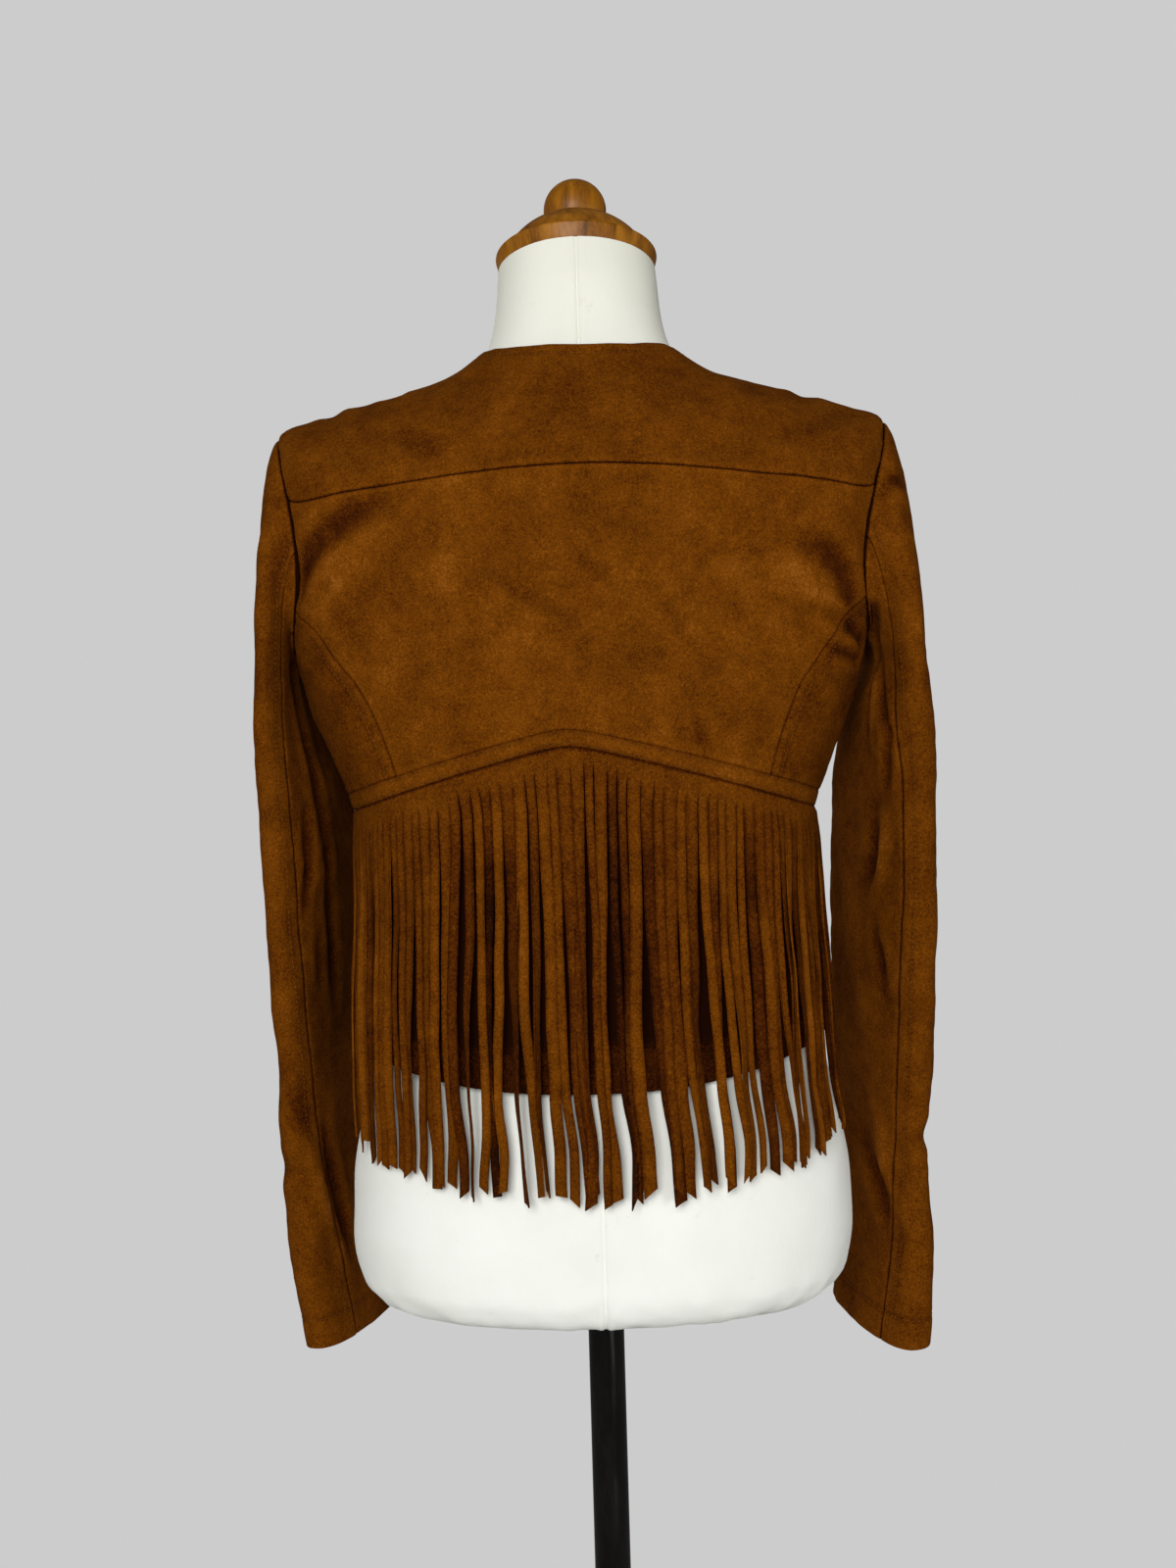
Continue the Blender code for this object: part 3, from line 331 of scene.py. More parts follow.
def smooth(knots, values, at):
    """Cubic curve through the values, which never swings past a knot.

    Its slope at a knot is the harmonic mean of the two sides' slopes, and level where
    they turn.
    """
    rise = np.diff(values) / np.diff(knots)
    before, after = rise[:-1], rise[1:]
    same = before * after > 0
    middle = np.where(same, 2 * before * after / np.where(same, before + after, 1.0), 0.0)
    slopes = np.concatenate([rise[:1], middle, rise[-1:]])
    i = np.clip(np.searchsorted(knots, at, side="right") - 1, 0, len(knots) - 2)
    span = knots[i + 1] - knots[i]
    return hermite((at - knots[i]) / span, values[i], values[i + 1], span * slopes[i], span * slopes[i + 1])


def ease(low, high, value):
    """Rises from 0 to 1 between two values: 3 t squared less 2 t cubed."""
    t = np.clip((value - low) / (high - low), 0.0, 1.0)
    return t * t * (3 - 2 * t)


def bell(away, width):
    """Falls from 1 on both sides of zero: the exponential of minus the squared ratio."""
    return np.exp(-(away / width) ** 2)


def unit(vectors):
    """Vectors of length one."""
    return vectors / np.linalg.norm(vectors, axis=-1, keepdims=True)


def lengths_along(points, axis=0):
    """Distance from the first point of each line to every point, along one axis of a grid."""
    total = np.cumsum(np.linalg.norm(np.diff(points, axis=axis), axis=-1), axis=axis)
    return np.concatenate([np.zeros_like(np.take(total, [0], axis)), total], axis=axis)


def superellipse(angle, power):
    """Sine and cosine of an angle, both over the p-norm of the two."""
    across, along = np.sin(angle), np.cos(angle)
    size = (np.abs(across) ** power + np.abs(along) ** power) ** (-1 / power)
    return size * across, size * along


BODY, FORM = table(BODY_COLUMNS, BODY_ROWS), table(FORM_COLUMNS, FORM_ROWS)
FRINGE, PRINCESS = table(FRINGE_COLUMNS, FRINGE_ROWS), table(PRINCESS_COLUMNS, PRINCESS_ROWS)
LEFT_SLEEVE, RIGHT_SLEEVE = table(SLEEVE_COLUMNS, LEFT_SLEEVE_ROWS), table(SLEEVE_COLUMNS, RIGHT_SLEEVE_ROWS)


# ---- Surfaces ----
def ring_point(rows, turn, level):
    """Superellipse ring, with one depth behind and another in front.

    Its height runs from the side's to the back's or front's with the cosine's share
    to the saddle power. turn is in degrees from the centre back, left positive.
    """
    row = {name: smooth(rows["level"], rows[name], level) for name in rows}
    across, along = superellipse(np.radians(turn), row["boxy"])
    depth = np.where(along > 0, row["back"], row["front"])
    centre_z = np.where(along > 0, row["back_z"], row["front_z"])
    x = row.get("shift", 0.0) + row["half"] * across
    z = row["side_z"] + (centre_z - row["side_z"]) * np.abs(along) ** row.get("saddle", 2.0)
    return np.stack(np.broadcast_arrays(x, depth * along, z), axis=-1)


def body_point(turn, level):
    """Middle of the jacket's wall."""
    return ring_point(BODY, turn, level)


def on_body(places):
    """Points of the jacket's wall at places, each a turn and a level."""
    return body_point(places[..., 0], places[..., 1])


def form_point(turn, level):
    """Surface of the covered torso."""
    return ring_point(FORM, turn, level)


def fringe_point(turn, z):
    """Middle of the fringe: a superellipse ring at each height."""
    half, back, shift = (smooth(FRINGE["z"], FRINGE[name], z) for name in ("half", "back", "shift"))
    across, along = superellipse(np.radians(turn), FRINGE_BOXY)
    return np.stack(np.broadcast_arrays(shift + half * across, back * along, z), axis=-1)


def sleeve_point(rows, side, tilt, angle, way):
    """Sleeve: way 0 to 1 is the cap, from the armhole to the first ring, and 1 to 2 the tube.

    The cap is a cubic curve that leaves the armhole outwards and arrives straight
    down. A ring is a flattened superellipse that is swung round by its turn. Outer
    side at 0 degrees, back at 90, inner at 180, front at 270 or -90.
    """
    angle, way = np.broadcast_arrays(np.asarray(angle, dtype=float), np.asarray(way, dtype=float))
    top_z, cuff_z = rows["z"][0], rows["z"][-1]
    part = np.clip(way - 1, 0, 1)
    z = top_z + (cuff_z - top_z) * part
    value = {name: smooth(-rows["z"], rows[name], -z) for name in rows}
    seam, swing, long = value["seam"], np.radians(value["turn"]), value["long"]
    beyond = seam + (angle - HINDARM_ANGLE) * (FOREARM_ANGLE - seam) / (FOREARM_ANGLE - HINDARM_ANGLE)
    spread = np.where(angle < HINDARM_ANGLE, angle * seam / HINDARM_ANGLE, beyond)
    spread = np.where((angle < 0) | (angle > FOREARM_ANGLE), angle, spread)
    power = SLEEVE_BOXY / (SLEEVE_BOXY - 1)
    reach, lean = (value["outer"] - value["inner"]) / 2, long * np.sin(swing)
    thick = (reach ** power - lean ** power) ** (1 / power) / np.cos(swing)
    deep, flat = superellipse(np.radians(spread), SLEEVE_BOXY)
    x = (value["outer"] + value["inner"]) / 2 + thick * flat * np.cos(swing) + long * deep * np.sin(swing)
    y = value["middle_y"] - thick * flat * np.sin(swing) + long * deep * np.cos(swing)
    ring = np.stack([x, y, z - tilt * part * y], axis=-1)

    edge = on_body(armhole(angle, side)) * np.array([side, 1.0, 1.0])
    fold = ease(-80.0, -20.0, -np.abs(angle % 360 - 180.0))[..., None]
    aside, down = np.array([1.0, 0.0, 0.0]), np.array([0.0, 0.0, -1.0])
    edge = edge + aside * (CAP_CLEAR * (1 - fold) + CAP_TUCK * fold)
    length = np.linalg.norm(ring - edge, axis=-1, keepdims=True)
    low = (1 - np.cos(np.radians(angle)))[..., None] / 2
    leave = length * CAP_OUT * (aside * (1 - fold) + down * (fold + low + 0.2))
    cap = hermite(np.clip(way, 0, 1)[..., None], edge, ring, leave, length * CAP_DOWN * down)
    return np.where(way[..., None] < 1, cap, ring) * np.array([side, 1.0, 1.0])


def normals(surface, first, second, centre):
    """Unit normals of a surface of two parameters, from small steps, pointing off a centre line."""
    step, small = 0.2, 0.0008
    along_first = surface(first + step, second) - surface(first - step, second)
    along_second = surface(first, second + small) - surface(first, second - small)
    normal = unit(np.cross(along_first, along_second))
    away = surface(first, second)[..., :2] - centre
    return normal * np.sign(np.sum(normal[..., :2] * away, axis=-1).mean())


# ---- Seam lines, as turns and levels ----
def armhole(angles, side):
    """Armhole loop: an oval round the side, wider towards the front."""
    angle = np.radians(np.asarray(angles, dtype=float))
    turn = 90.0 - np.where(np.sin(angle) > 0, ARMHOLE_BACK, ARMHOLE_FRONT) * np.sin(angle)
    middle, half = (SHOULDER_TIP + ARMPIT) / 2, (SHOULDER_TIP - ARMPIT) / 2
    return np.stack([side * turn, middle + half * np.cos(angle)], axis=-1)


def arm_run(first, last, side):
    """Stretch of the armhole between two angles."""
    return armhole(np.linspace(first, last, LINE_POINTS), side)


def band_edge(turn, below):
    """Chevron edge of the waist band: straight falls from a rounded point."""
    x = body_point(turn, np.full_like(turn, BAND_LEVEL))[:, 0]
    fall = BAND_SLOPE * (np.sqrt((x - BAND_PEAK_X) ** 2 + BAND_ROUND ** 2) - BAND_ROUND)
    return np.stack([turn, BAND_PEAK_Z - fall - below], axis=-1)


def band_run(first, last, below):
    """Stretch of the chevron between two turns."""
    return band_edge(np.linspace(first, last, LINE_POINTS), below)


def princess_seam(side):
    """Princess seam from the waist band up to the armhole."""
    part = np.linspace(1.0, 0.0, LINE_POINTS)
    turn = side * smooth(PRINCESS["part"], PRINCESS["turn"], part)
    level = smooth(PRINCESS["part"], PRINCESS["level"], part)
    start = band_edge(turn[:1], 0.0)[0, 1]
    line = np.stack([turn, level + (start - level[0]) * part ** 3], axis=-1)
    line[-1] = armhole([PRINCESS_ANGLE], side)[0]
    return line


def level_at_height(turn, z):
    """Level at which the body's ring passes a height, for each turn."""
    steps = np.linspace(HEM, NECKLINE, 600)
    heights = body_point(turn[:, None], steps[None, :])[..., 2]
    after = np.clip(np.sum(heights < z[:, None], axis=1), 1, len(steps) - 1)
    rows = np.arange(len(turn))
    low, high = heights[rows, after - 1], heights[rows, after]
    return steps[after - 1] + (steps[after] - steps[after - 1]) * (z - low) / (high - low)


def yoke_seam():
    """Arched seam from armhole to armhole, over the right to the left."""
    right, left = armhole([YOKE_ANGLE], -1)[0], armhole([YOKE_ANGLE], 1)[0]
    turn = np.linspace(right[0], left[0], LINE_POINTS)
    x = body_point(turn, np.full(LINE_POINTS, YOKE_LEVEL))[:, 0]
    level = level_at_height(turn, YOKE_SEAM_Z - YOKE_SEAM_DROP * (x / YOKE_HALF) ** 2)
    mend = np.linspace(right[1] - level[0], left[1] - level[-1], LINE_POINTS)
    return np.stack([turn, level + mend * np.abs(turn / left[0]) ** 6], axis=-1)


def straight(start, end):
    """Straight run of turns and levels."""
    return np.linspace(np.array(start, dtype=float), np.array(end, dtype=float), LINE_POINTS)


def side_line(side, first, last):
    """Straight run up the side between two levels."""
    return straight((side * 90.0, first), (side * 90.0, last))


def seam_parts(length, first=True, last=True, step=GRID_STEP):
    """Parts of a length, closely spaced beside the seams at its ends and even between."""
    near = np.array(SEAM_STEPS) * min(1.0, 0.4 * length / SEAM_STEPS[-1])
    start = near if first else near[:1]
    stop = near if last else near[:1]
    inner = length - start[-1] - stop[-1]
    even = start[-1] + inner * np.linspace(0, 1, max(3, round(inner / step)) + 1)[1:-1]
    return np.concatenate([start, even, length - stop[::-1]]) / length


def edge_parts(runs, first=True, last=True):
    """Parts of each run in a row of runs, with a point on every corner."""
    ends = len(runs) - 1
    return [seam_parts(lengths_along(on_body(run))[-1], first and i == 0, last and i == ends)
            for i, run in enumerate(runs)]


def spaced(runs, parts):
    """Runs one after another, each read at parts of its real length."""
    lines = []
    for run, part in zip(runs, parts):
        length = lengths_along(on_body(run))
        line = np.stack([np.interp(part * length[-1], length, run[:, i]) for i in (0, 1)], axis=-1)
        lines.append(line if not lines else line[1:])
    return np.concatenate(lines)


def patch(bottom, top, left, right, across):
    """Coons patch: ruled between bottom and top, plus ruled between the sides, less the corners.

    Its rows are spaced as the levels of its two sides are, so that no row passes another.
    """
    height = left[:, 1] + right[:, 1]
    up = ((height - height[0]) / (height[-1] - height[0]))[:, None, None]
    across = across[None, :, None]
    ruled_up = (1 - up) * bottom[None] + up * top[None]
    ruled_across = (1 - across) * left[:, None] + across * right[:, None]
    corners = ((1 - up) * ((1 - across) * bottom[0] + across * bottom[-1])
               + up * ((1 - across) * top[0] + across * top[-1]))
    return ruled_up + ruled_across - corners


def panel_grid(bottom, top, left, right, across, up):
    """Turns and levels of a panel between four seam lines, at parts across and up them."""
    return patch(spaced([bottom], across), spaced([top], across), spaced(left, up), spaced(right, up),
                 across[0])


# ---- Relief of the cloth ----
def waves(points, length, seed, count=12):
    """Soft unevenness from -1 to 1: a sum of plane waves of about one length, each its own way."""
    draw = np.random.default_rng(seed)
    ways = unit(draw.normal(size=(count, 3))) * 2 * math.pi / length
    ways *= draw.uniform(0.7, 1.4, (count, 1))
    phase = draw.uniform(0, 2 * math.pi, count)
    return np.sin(points @ ways.T + phase).sum(axis=-1) / math.sqrt(count * 2)


def crease_relief(points, surface, rows):
    """Relief of all the creases of a surface.

    Each is a bowed line on the surface. Across it the relief is a bell trough with a
    lower ridge on each side, and along it the depth follows a part of a half wave.
    """
    relief = np.zeros(points.shape[:-1])
    part = np.linspace(0, 1, CREASE_POINTS)
    for row in rows:
        crease = {"begin": 0.0, "finish": 1.0} | dict(zip(CREASE_COLUMNS, row))
        turn = crease["turn_a"] + (crease["turn_b"] - crease["turn_a"]) * part
        turn = turn + crease["bow"] * np.sin(math.pi * part)
        line = surface(turn, crease["high_a"] + (crease["high_b"] - crease["high_a"]) * part)
        start, way = line[:-1], np.diff(line, axis=0)
        away = points[..., None, :] - start
        along = np.clip(np.sum(away * way, axis=-1) / np.sum(way * way, axis=-1), 0, 1)
        gap = np.linalg.norm(away - along[..., None] * way, axis=-1)
        nearest = np.argmin(gap, axis=-1)[..., None]
        reach = np.take_along_axis(gap, nearest, -1)[..., 0] / (crease["width"] / 1000)
        place = (nearest + np.take_along_axis(along, nearest, -1))[..., 0] / (CREASE_POINTS - 1)
        strength = np.sin(math.pi * (crease["begin"] + (crease["finish"] - crease["begin"]) * place))
        profile = 0.3 * np.exp(-(reach - 1.8) ** 2 / 0.6) - bell(reach, 1.0)
        relief += crease["depth"] / 1000 * strength * profile
    return relief


def edge_distances(points):
    """Distance of every grid point from the grid's left, right, bottom and top edge, along it."""
    left, bottom = lengths_along(points, 1), lengths_along(points, 0)
    return {"left": left, "right": left[:, -1:] - left, "bottom": bottom, "top": bottom[-1:] - bottom}


# ---- Meshes ----
def mesh_object(name, points, faces, materials, tone=None, sharp=35):
    """Mesh object at the origin, smooth apart from its sharp edges, with a tone for each point."""
    mesh = bpy.data.meshes.new(name)
    mesh.from_pydata(np.reshape(points, (-1, 3)).tolist(), [], faces)
    mesh.shade_smooth()
    mesh.set_sharp_from_angle(angle=math.radians(sharp))
    for item in materials:
        mesh.materials.append(item)
    if tone is not None:
        mesh.attributes.new("tone", "FLOAT", "POINT").data.foreach_set("value", np.ravel(tone))
    item = bpy.data.objects.new(name, mesh)
    bpy.context.collection.objects.link(item)
    return item


def outwards(item):
    """Turns a closed mesh's faces outwards, if they point in: by the sign of its volume."""
    mesh = item.data
    mesh.calc_loop_triangles()
    corners = np.empty(len(mesh.loop_triangles) * 3, dtype=np.int32)
    mesh.loop_triangles.foreach_get("vertices", corners)
    points = np.empty(len(mesh.vertices) * 3)
    mesh.vertices.foreach_get("co", points)
    a, b, c = points.reshape(-1, 3)[corners.reshape(-1, 3)].transpose(1, 0, 2)
    if np.sum(a * np.cross(b, c)) < 0:
        mesh.flip_normals()
    return item


def quads_of(rows, columns, wrap=False):
    """Faces of a grid of points, row after row, closed round its columns if wrapped."""
    index = np.arange(rows * columns).reshape(rows, columns)
    if wrap:
        index = np.concatenate([index, index[:, :1]], axis=1)
    quads = np.stack([index[:-1, :-1], index[:-1, 1:], index[1:, 1:], index[1:, :-1]], axis=-1)
    return quads.reshape(-1, 4)


def ring_solid(name, points, material, sharp):
    """Solid of a grid of rings, one above another, with a face at each end."""
    rows, columns = points.shape[:2]
    faces = quads_of(rows, columns, wrap=True).tolist()
    faces += [list(range(columns))[::-1], list(range((rows - 1) * columns, rows * columns))]
    return outwards(mesh_object(name, points, faces, [material], sharp=sharp))


def shell(name, points, outward, wall, material, tone):
    """Closed wall: the grid moved half a wall to each side along its own normals, and its rim."""
    rows, columns = points.shape[:2]
    count = rows * columns
    facing = unit(np.cross(np.gradient(points, axis=1), np.gradient(points, axis=0)))
    sign = np.sign(np.sum(facing * outward, axis=-1).mean())
    facing *= sign
    outer = quads_of(rows, columns)
    index = np.arange(count).reshape(rows, columns)
    rim = np.concatenate([index[0, :-1], index[:-1, -1], index[-1, :0:-1], index[:0:-1, 0]])
    after = np.roll(rim, -1)
    side = np.stack([after, rim, rim + count, after + count], axis=-1)
    faces = np.concatenate([outer, outer[:, ::-1] + count, side])
    if sign < 0:
        faces = faces[:, ::-1]
    both = np.stack([points + facing * wall / 2, points - facing * wall / 2])
    return mesh_object(name, both, faces.tolist(), [material], np.tile(np.ravel(tone), 2), sharp=50)


# ---- Stitching ----
stitch_rows = []         # lines of thread, each with its points and its normals


def sew(points, outward, distances, edge, away):
    """Row of stitches on a panel, where the distance from one of its edges passes a value."""
    axis = 1 if edge in ("left", "right") else 0
    grids = [np.moveaxis(grid, axis, 0) for grid in (distances[edge], points, outward)]
    if edge in ("right", "top"):
        grids = [grid[::-1] for grid in grids]
    field = grids[0]
    after = np.clip(np.sum(field < away, axis=0), 1, len(field) - 1)
    columns = np.arange(field.shape[1])
    low, high = field[after - 1, columns], field[after, columns]
    part = np.clip((away - low) / (high - low), 0, 1)[:, None]
    line, up = (grid[after - 1, columns] * (1 - part) + grid[after, columns] * part for grid in grids[1:])
    stitch_rows.append((line, unit(up)))


def stitch_shape():
    """One stitch: rings round an axis, thin at both ends, which dip into the leather."""
    along = np.array([-0.5, -0.28, 0.0, 0.28, 0.5])[:, None]
    thick = np.array([0.45, 0.9, 1.0, 0.9, 0.45])[:, None]
    rise = np.array([-0.9, 0.25, 0.5, 0.25, -0.9])[:, None]
    angle = np.linspace(0, 2 * math.pi, 6, endpoint=False)
    across = thick * np.cos(angle) * STITCH_RADIUS
    up = (thick * np.sin(angle) + rise) * STITCH_RADIUS
    length = np.broadcast_to(along * STITCH_LENGTH, across.shape)
    ends = [list(range(6)), list(range(29, 23, -1))]
    return np.stack([length, across, up], axis=-1).reshape(-1, 3), quads_of(5, 6, wrap=True)[:, ::-1], ends


def read_line(grid, length, where):
    """Points of a line at distances along it."""
    return np.stack([np.interp(where, length, grid[:, i]) for i in range(3)], axis=-1)


def make_stitching(thread):
    """All the stitches as one mesh: the one shape set along every line at an even pitch."""
    shape, quads, ends = stitch_shape()
    places, frames = [], []
    for points, outward in stitch_rows:
        length = lengths_along(points)
        at = np.arange(STITCH_PITCH * 0.6, length[-1] - STITCH_PITCH * 0.4, STITCH_PITCH)
        way = unit(read_line(points, length, at + STITCH_LENGTH / 2)
                   - read_line(points, length, at - STITCH_LENGTH / 2))
        aside = unit(np.cross(unit(read_line(outward, length, at)), way))
        up = np.cross(way, aside)
        places.append(read_line(points, length, at) + up * SUEDE_WALL / 2)
        frames.append(np.stack([way, aside, up], axis=1))
    place = np.concatenate(places)
    points = place[:, None] + np.einsum("pk,nkc->npc", shape, np.concatenate(frames))
    offset = np.arange(len(place))[:, None, None] * len(shape)
    faces = (quads[None] + offset).reshape(-1, 4).tolist()
    faces += (np.array(ends)[None] + offset).reshape(-1, 6).tolist()
    return mesh_object("stitching", points, faces, [thread])


# ---- Panels ----
pieces = {}              # finished pieces of the jacket, by name


# Edges of a grid: name, axis across which it lies, its own line and the next line in.
EDGE_LINES = (("left", 1, 0, 1), ("right", 1, -1, -2), ("bottom", 0, 0, 1), ("top", 0, -1, -2))


def finish_panel(name, points, outward, relief, seams, stitches, material, shade, tuck=None):
    """Relief, rolled seams, stitched grooves, turned-in allowances and wall of a panel.

    seams gives the edges that are sewn and how dark the line along each is, stitches
    the rows as (edge, distance), and tuck the way in which the allowance of the top
    edge is turned, where it isn't straight inwards.
    """
    distances = edge_distances(points)
    near = np.full(points.shape[:2], 1.0)
    for edge in seams:
        near = np.minimum(near, distances[edge])
    relief = relief * (0.4 + 0.6 * ease(0.001, 0.010, near))
    uneven = 0.00060 * waves(points, 0.038, 5) + 0.00022 * waves(points, 0.015, 6)
    pucker = 0.00030 * waves(points, 0.0085, 7) * np.exp(-near / 0.006)
    height = relief + uneven + pucker - ROLL_DEPTH * bell(near, ROLL_WIDTH)
    # Painted shade and light: the tone follows the relief, darker in crease troughs and low unevenness,
    # lighter on ridges.
    relief_shade = CREASE_SHADE * np.clip(relief, -CREASE_LIMIT, CREASE_LIMIT) + UNEVEN_SHADE * uneven
    tone = 0.5 + shade + relief_shade + 0.05 * bell(near - 0.0026, 0.0014)
    for edge, dark in seams.items():
        tone = tone - dark * bell(distances[edge], SEAM_LINE)
    for edge, away in stitches:
        groove = bell(distances[edge] - away, STITCH_GROOVE)
        height = height - STITCH_SINK * groove
        tone = tone - STITCH_TONE * groove
    points = points + outward * height[..., None]
    for edge, away in stitches:
        sew(points, outward, distances, edge, away)
    inwards = -outward
    if tuck is not None:
        inwards[-1] = tuck[-1]
    for edge, axis, place, inner in EDGE_LINES:
        if edge in seams:
            grids = [np.moveaxis(grid, axis, 0) for grid in (points, inwards, outward, tone)]
            grids[0][place] += unit(grids[0][inner] - grids[0][place]) * SEAM_IN
            lines = [grid[[place]] for grid in grids]
            lines[0] = lines[0] + lines[1] * ALLOWANCE
            pairs = [(line, grid) if place == 0 else (grid, line) for line, grid in zip(lines, grids)]
            points, inwards, outward, tone = (np.moveaxis(np.concatenate(pair), 0, axis) for pair in pairs)
    pieces[name] = shell(name, points, outward, SUEDE_WALL, material, tone)


def body_panel(name, grid, seams, creases, material, shade=0.0, stitches=(), raised=0.0):
    """Panel of the jacket's body, from its grid of turns and levels."""
    turn, level = grid[..., 0], grid[..., 1]
    points = body_point(turn, level)
    outward = normals(body_point, turn, level, np.zeros(2))
    relief = crease_relief(points, body_point, creases) + raised
    finish_panel(name, points, outward, relief, seams, stitches, material, shade)


def make_yoke(suede):
    """Yoke: yoke seam to neckline, closed at the sides by the armhole and the shoulder seam."""
    right, left = ([arm_run(YOKE_ANGLE, 0, s), side_line(s, SHOULDER_TIP, NECKLINE)] for s in (-1, 1))
    grid = panel_grid(yoke_seam(), straight((-90.0, NECKLINE), (90.0, NECKLINE)), right, left,
                      edge_parts([yoke_seam()]), edge_parts(left))
    body_panel("back_yoke", grid, {"bottom": 0.7, "left": 0.6, "right": 0.6}, BACK_CREASES, suede,
               stitches=[("top", 0.007)])


def make_back_centre(suede):
    """Centre back: chevron to yoke seam, closed at the sides by princess seams and armholes."""
    right, left = ([princess_seam(s), arm_run(PRINCESS_ANGLE, YOKE_ANGLE, s)] for s in (-1, 1))
    band = band_run(right[0][0, 0], left[0][0, 0], 0.0)
    grid = panel_grid(band, yoke_seam(), right, left, edge_parts([band]), edge_parts(left))
    sewn = 0.25 + 0.35 * ease(-0.005, 0.005, grid[:, :1, 1] - left[0][-1, 1])
    body_panel("back_centre", grid, {"bottom": 0.25, "top": 0.7, "left": sewn, "right": sewn}, BACK_CREASES,
               suede, 0.04)


def make_back_side(side, name, suede):
    """Side back: chevron to armhole, between the princess seam and the side seam."""
    inner = princess_seam(side)
    band = band_run(inner[0, 0], side * 90.0, 0.0)
    arm, outer = arm_run(PRINCESS_ANGLE, 180, side), side_line(side, band[-1, 1], ARMPIT)
    grid = panel_grid(band, arm, [inner], [outer], edge_parts([band]), edge_parts([inner]))
    body_panel(name, grid, {"bottom": 0.25, "top": 0.5, "left": 0.25, "right": 0.4}, BACK_CREASES, suede,
               -0.06, [("left", 0.0075)])


def make_band(suede):
    """Waist band: a strip of even width along the chevron, stitched along both edges."""
    low, high = band_run(-90.0, 90.0, BAND_WIDTH), band_run(-90.0, 90.0, 0.0)
    right, left = ([straight(low[i], high[i])] for i in (0, -1))
    grid = panel_grid(low, high, right, left, edge_parts([high]), [seam_parts(BAND_WIDTH, step=0.001)])
    body_panel("waist_band", grid, {"bottom": 0.35, "top": 0.20, "left": 0.4, "right": 0.4}, (), suede, 0.05,
               [("top", 0.0021), ("bottom", 0.0021)], raised=0.0004)


def make_back_lower(suede):
    """Lower back: chevron to hem, side seam to side seam."""
    band = band_run(-90.0, 90.0, BAND_WIDTH)
    right, left = [side_line(-1, HEM, band[0, 1])], [side_line(1, HEM, band[-1, 1])]
    grid = panel_grid(straight((-90.0, HEM), (90.0, HEM)), band, right, left,
                      edge_parts([band]), edge_parts(left, False, True))
    # Painted shade: the lower back is darkened all over, and much more above the hem, where the fringe
    # shades it.
    shade = -0.25 - 0.55 * ease(0.020, 0.045, grid[..., 1] - HEM)
    body_panel("back_lower", grid, {"top": 0.4, "left": 0.4, "right": 0.4}, (), suede, shade, raised=-0.0014)


def make_front(side, name, suede):
    """Front: hem to neckline, from the side seam, armhole and shoulder to the open edge."""
    runs = [side_line(side, HEM, ARMPIT), arm_run(180, 360, side), side_line(side, SHOULDER_TIP, NECKLINE)]
    outer = spaced(runs, edge_parts(runs, False, False))
    rise = (outer[:, 1] - HEM) / (NECKLINE - HEM)
    edge_hem, edge_neck = side * (180.0 - OPENING_HEM), side * (180.0 - OPENING_NECK)
    opening = np.stack([edge_hem + (edge_neck - edge_hem) * rise, outer[:, 1]], axis=-1)
    hem = straight((side * 90.0, HEM), (edge_hem, HEM))
    neck = straight((side * 90.0, NECKLINE), (edge_neck, NECKLINE))
    across = edge_parts([hem])
    grid = patch(spaced([hem], across), spaced([neck], across), outer, opening, across[0])
    body_panel(name, grid, {"left": 0.4}, FRONT_CREASES, suede, 0.0,
               [("right", 0.006), ("top", 0.007), ("bottom", 0.016)])


def make_sleeve(side, rows, tilt, letter, creases, suede):
    """Upper and under sleeve, cut from one tube along the hindarm and the forearm seam."""
    def surface(angle, way):
        """Point of this sleeve."""
        return sleeve_point(rows, side, tilt, angle, way)

    top_z, cuff_z = rows["z"][0], rows["z"][-1]

    def placed(angle, z):
        """Point of this sleeve at a height."""
        edge_z = on_body(armhole(angle, side))[..., 2]
        in_cap = np.clip((edge_z - z) / (edge_z - top_z), 0, 1)
        return surface(angle, np.where(z > top_z, in_cap, 1 + (top_z - z) / (top_z - cuff_z)))

    cap = seam_parts(CAP_LENGTH, True, False)
    tube = 1 + seam_parts(top_z - cuff_z, False, False)
    way = np.concatenate([cap, tube[1:]])[:, None]
    centre = np.array([side * 0.19, 0.0])
    seams = {"top": 0.6, "left": 0.6, "right": 0.6}
    cuff = ("bottom", 0.020)
    for name, first, last, girth, shade, stitches in (
            ("sleeve_upper_", FOREARM_ANGLE - 360, HINDARM_ANGLE, 0.22, 0.0, [("right", 0.009), cuff]),
            ("sleeve_under_", HINDARM_ANGLE, FOREARM_ANGLE, 0.16, -0.03, [cuff])):
        angle = (first + (last - first) * seam_parts(girth))[None, :]
        points = surface(angle, way)
        outward = normals(surface, angle, np.clip(way, 0.001, 1.999), centre)
        inner = ease(0.006, 0.0, side * points[..., 0] - 0.172)
        relief = SLEEVE_DEPTH * crease_relief(points, placed, creases) * (1 - 0.7 * inner)
        points, outward, relief = points[::-1], outward[::-1], relief[::-1]
        tuck = unit(np.array([-side, 0.0, 0.0]) - 0.6 * outward)
        finish_panel(name + letter, points, outward, relief, seams, stitches, suede, shade, tuck)


# ---- Fringe ----
def strip_waves(draw, part, count, size):
    """A wave for each strip: two slow sines and two quick ones of its own, times a size."""
    rate = draw.uniform((0.35, 0.6, 2.0, 3.5), (0.9, 1.5, 3.5, 6.0), (count, 4))[:, None, :]
    phase = draw.uniform(0, 2 * math.pi, (count, 4))[:, None, :]
    share = (draw.uniform(0.4, 1.0, (count, 4)) * (1.0, 0.8, 0.30, 0.14))[:, None, :]
    wave = share * (np.sin(2 * math.pi * rate * part[None, :, None] + phase) - np.sin(phase))
    return wave.sum(axis=-1) * size


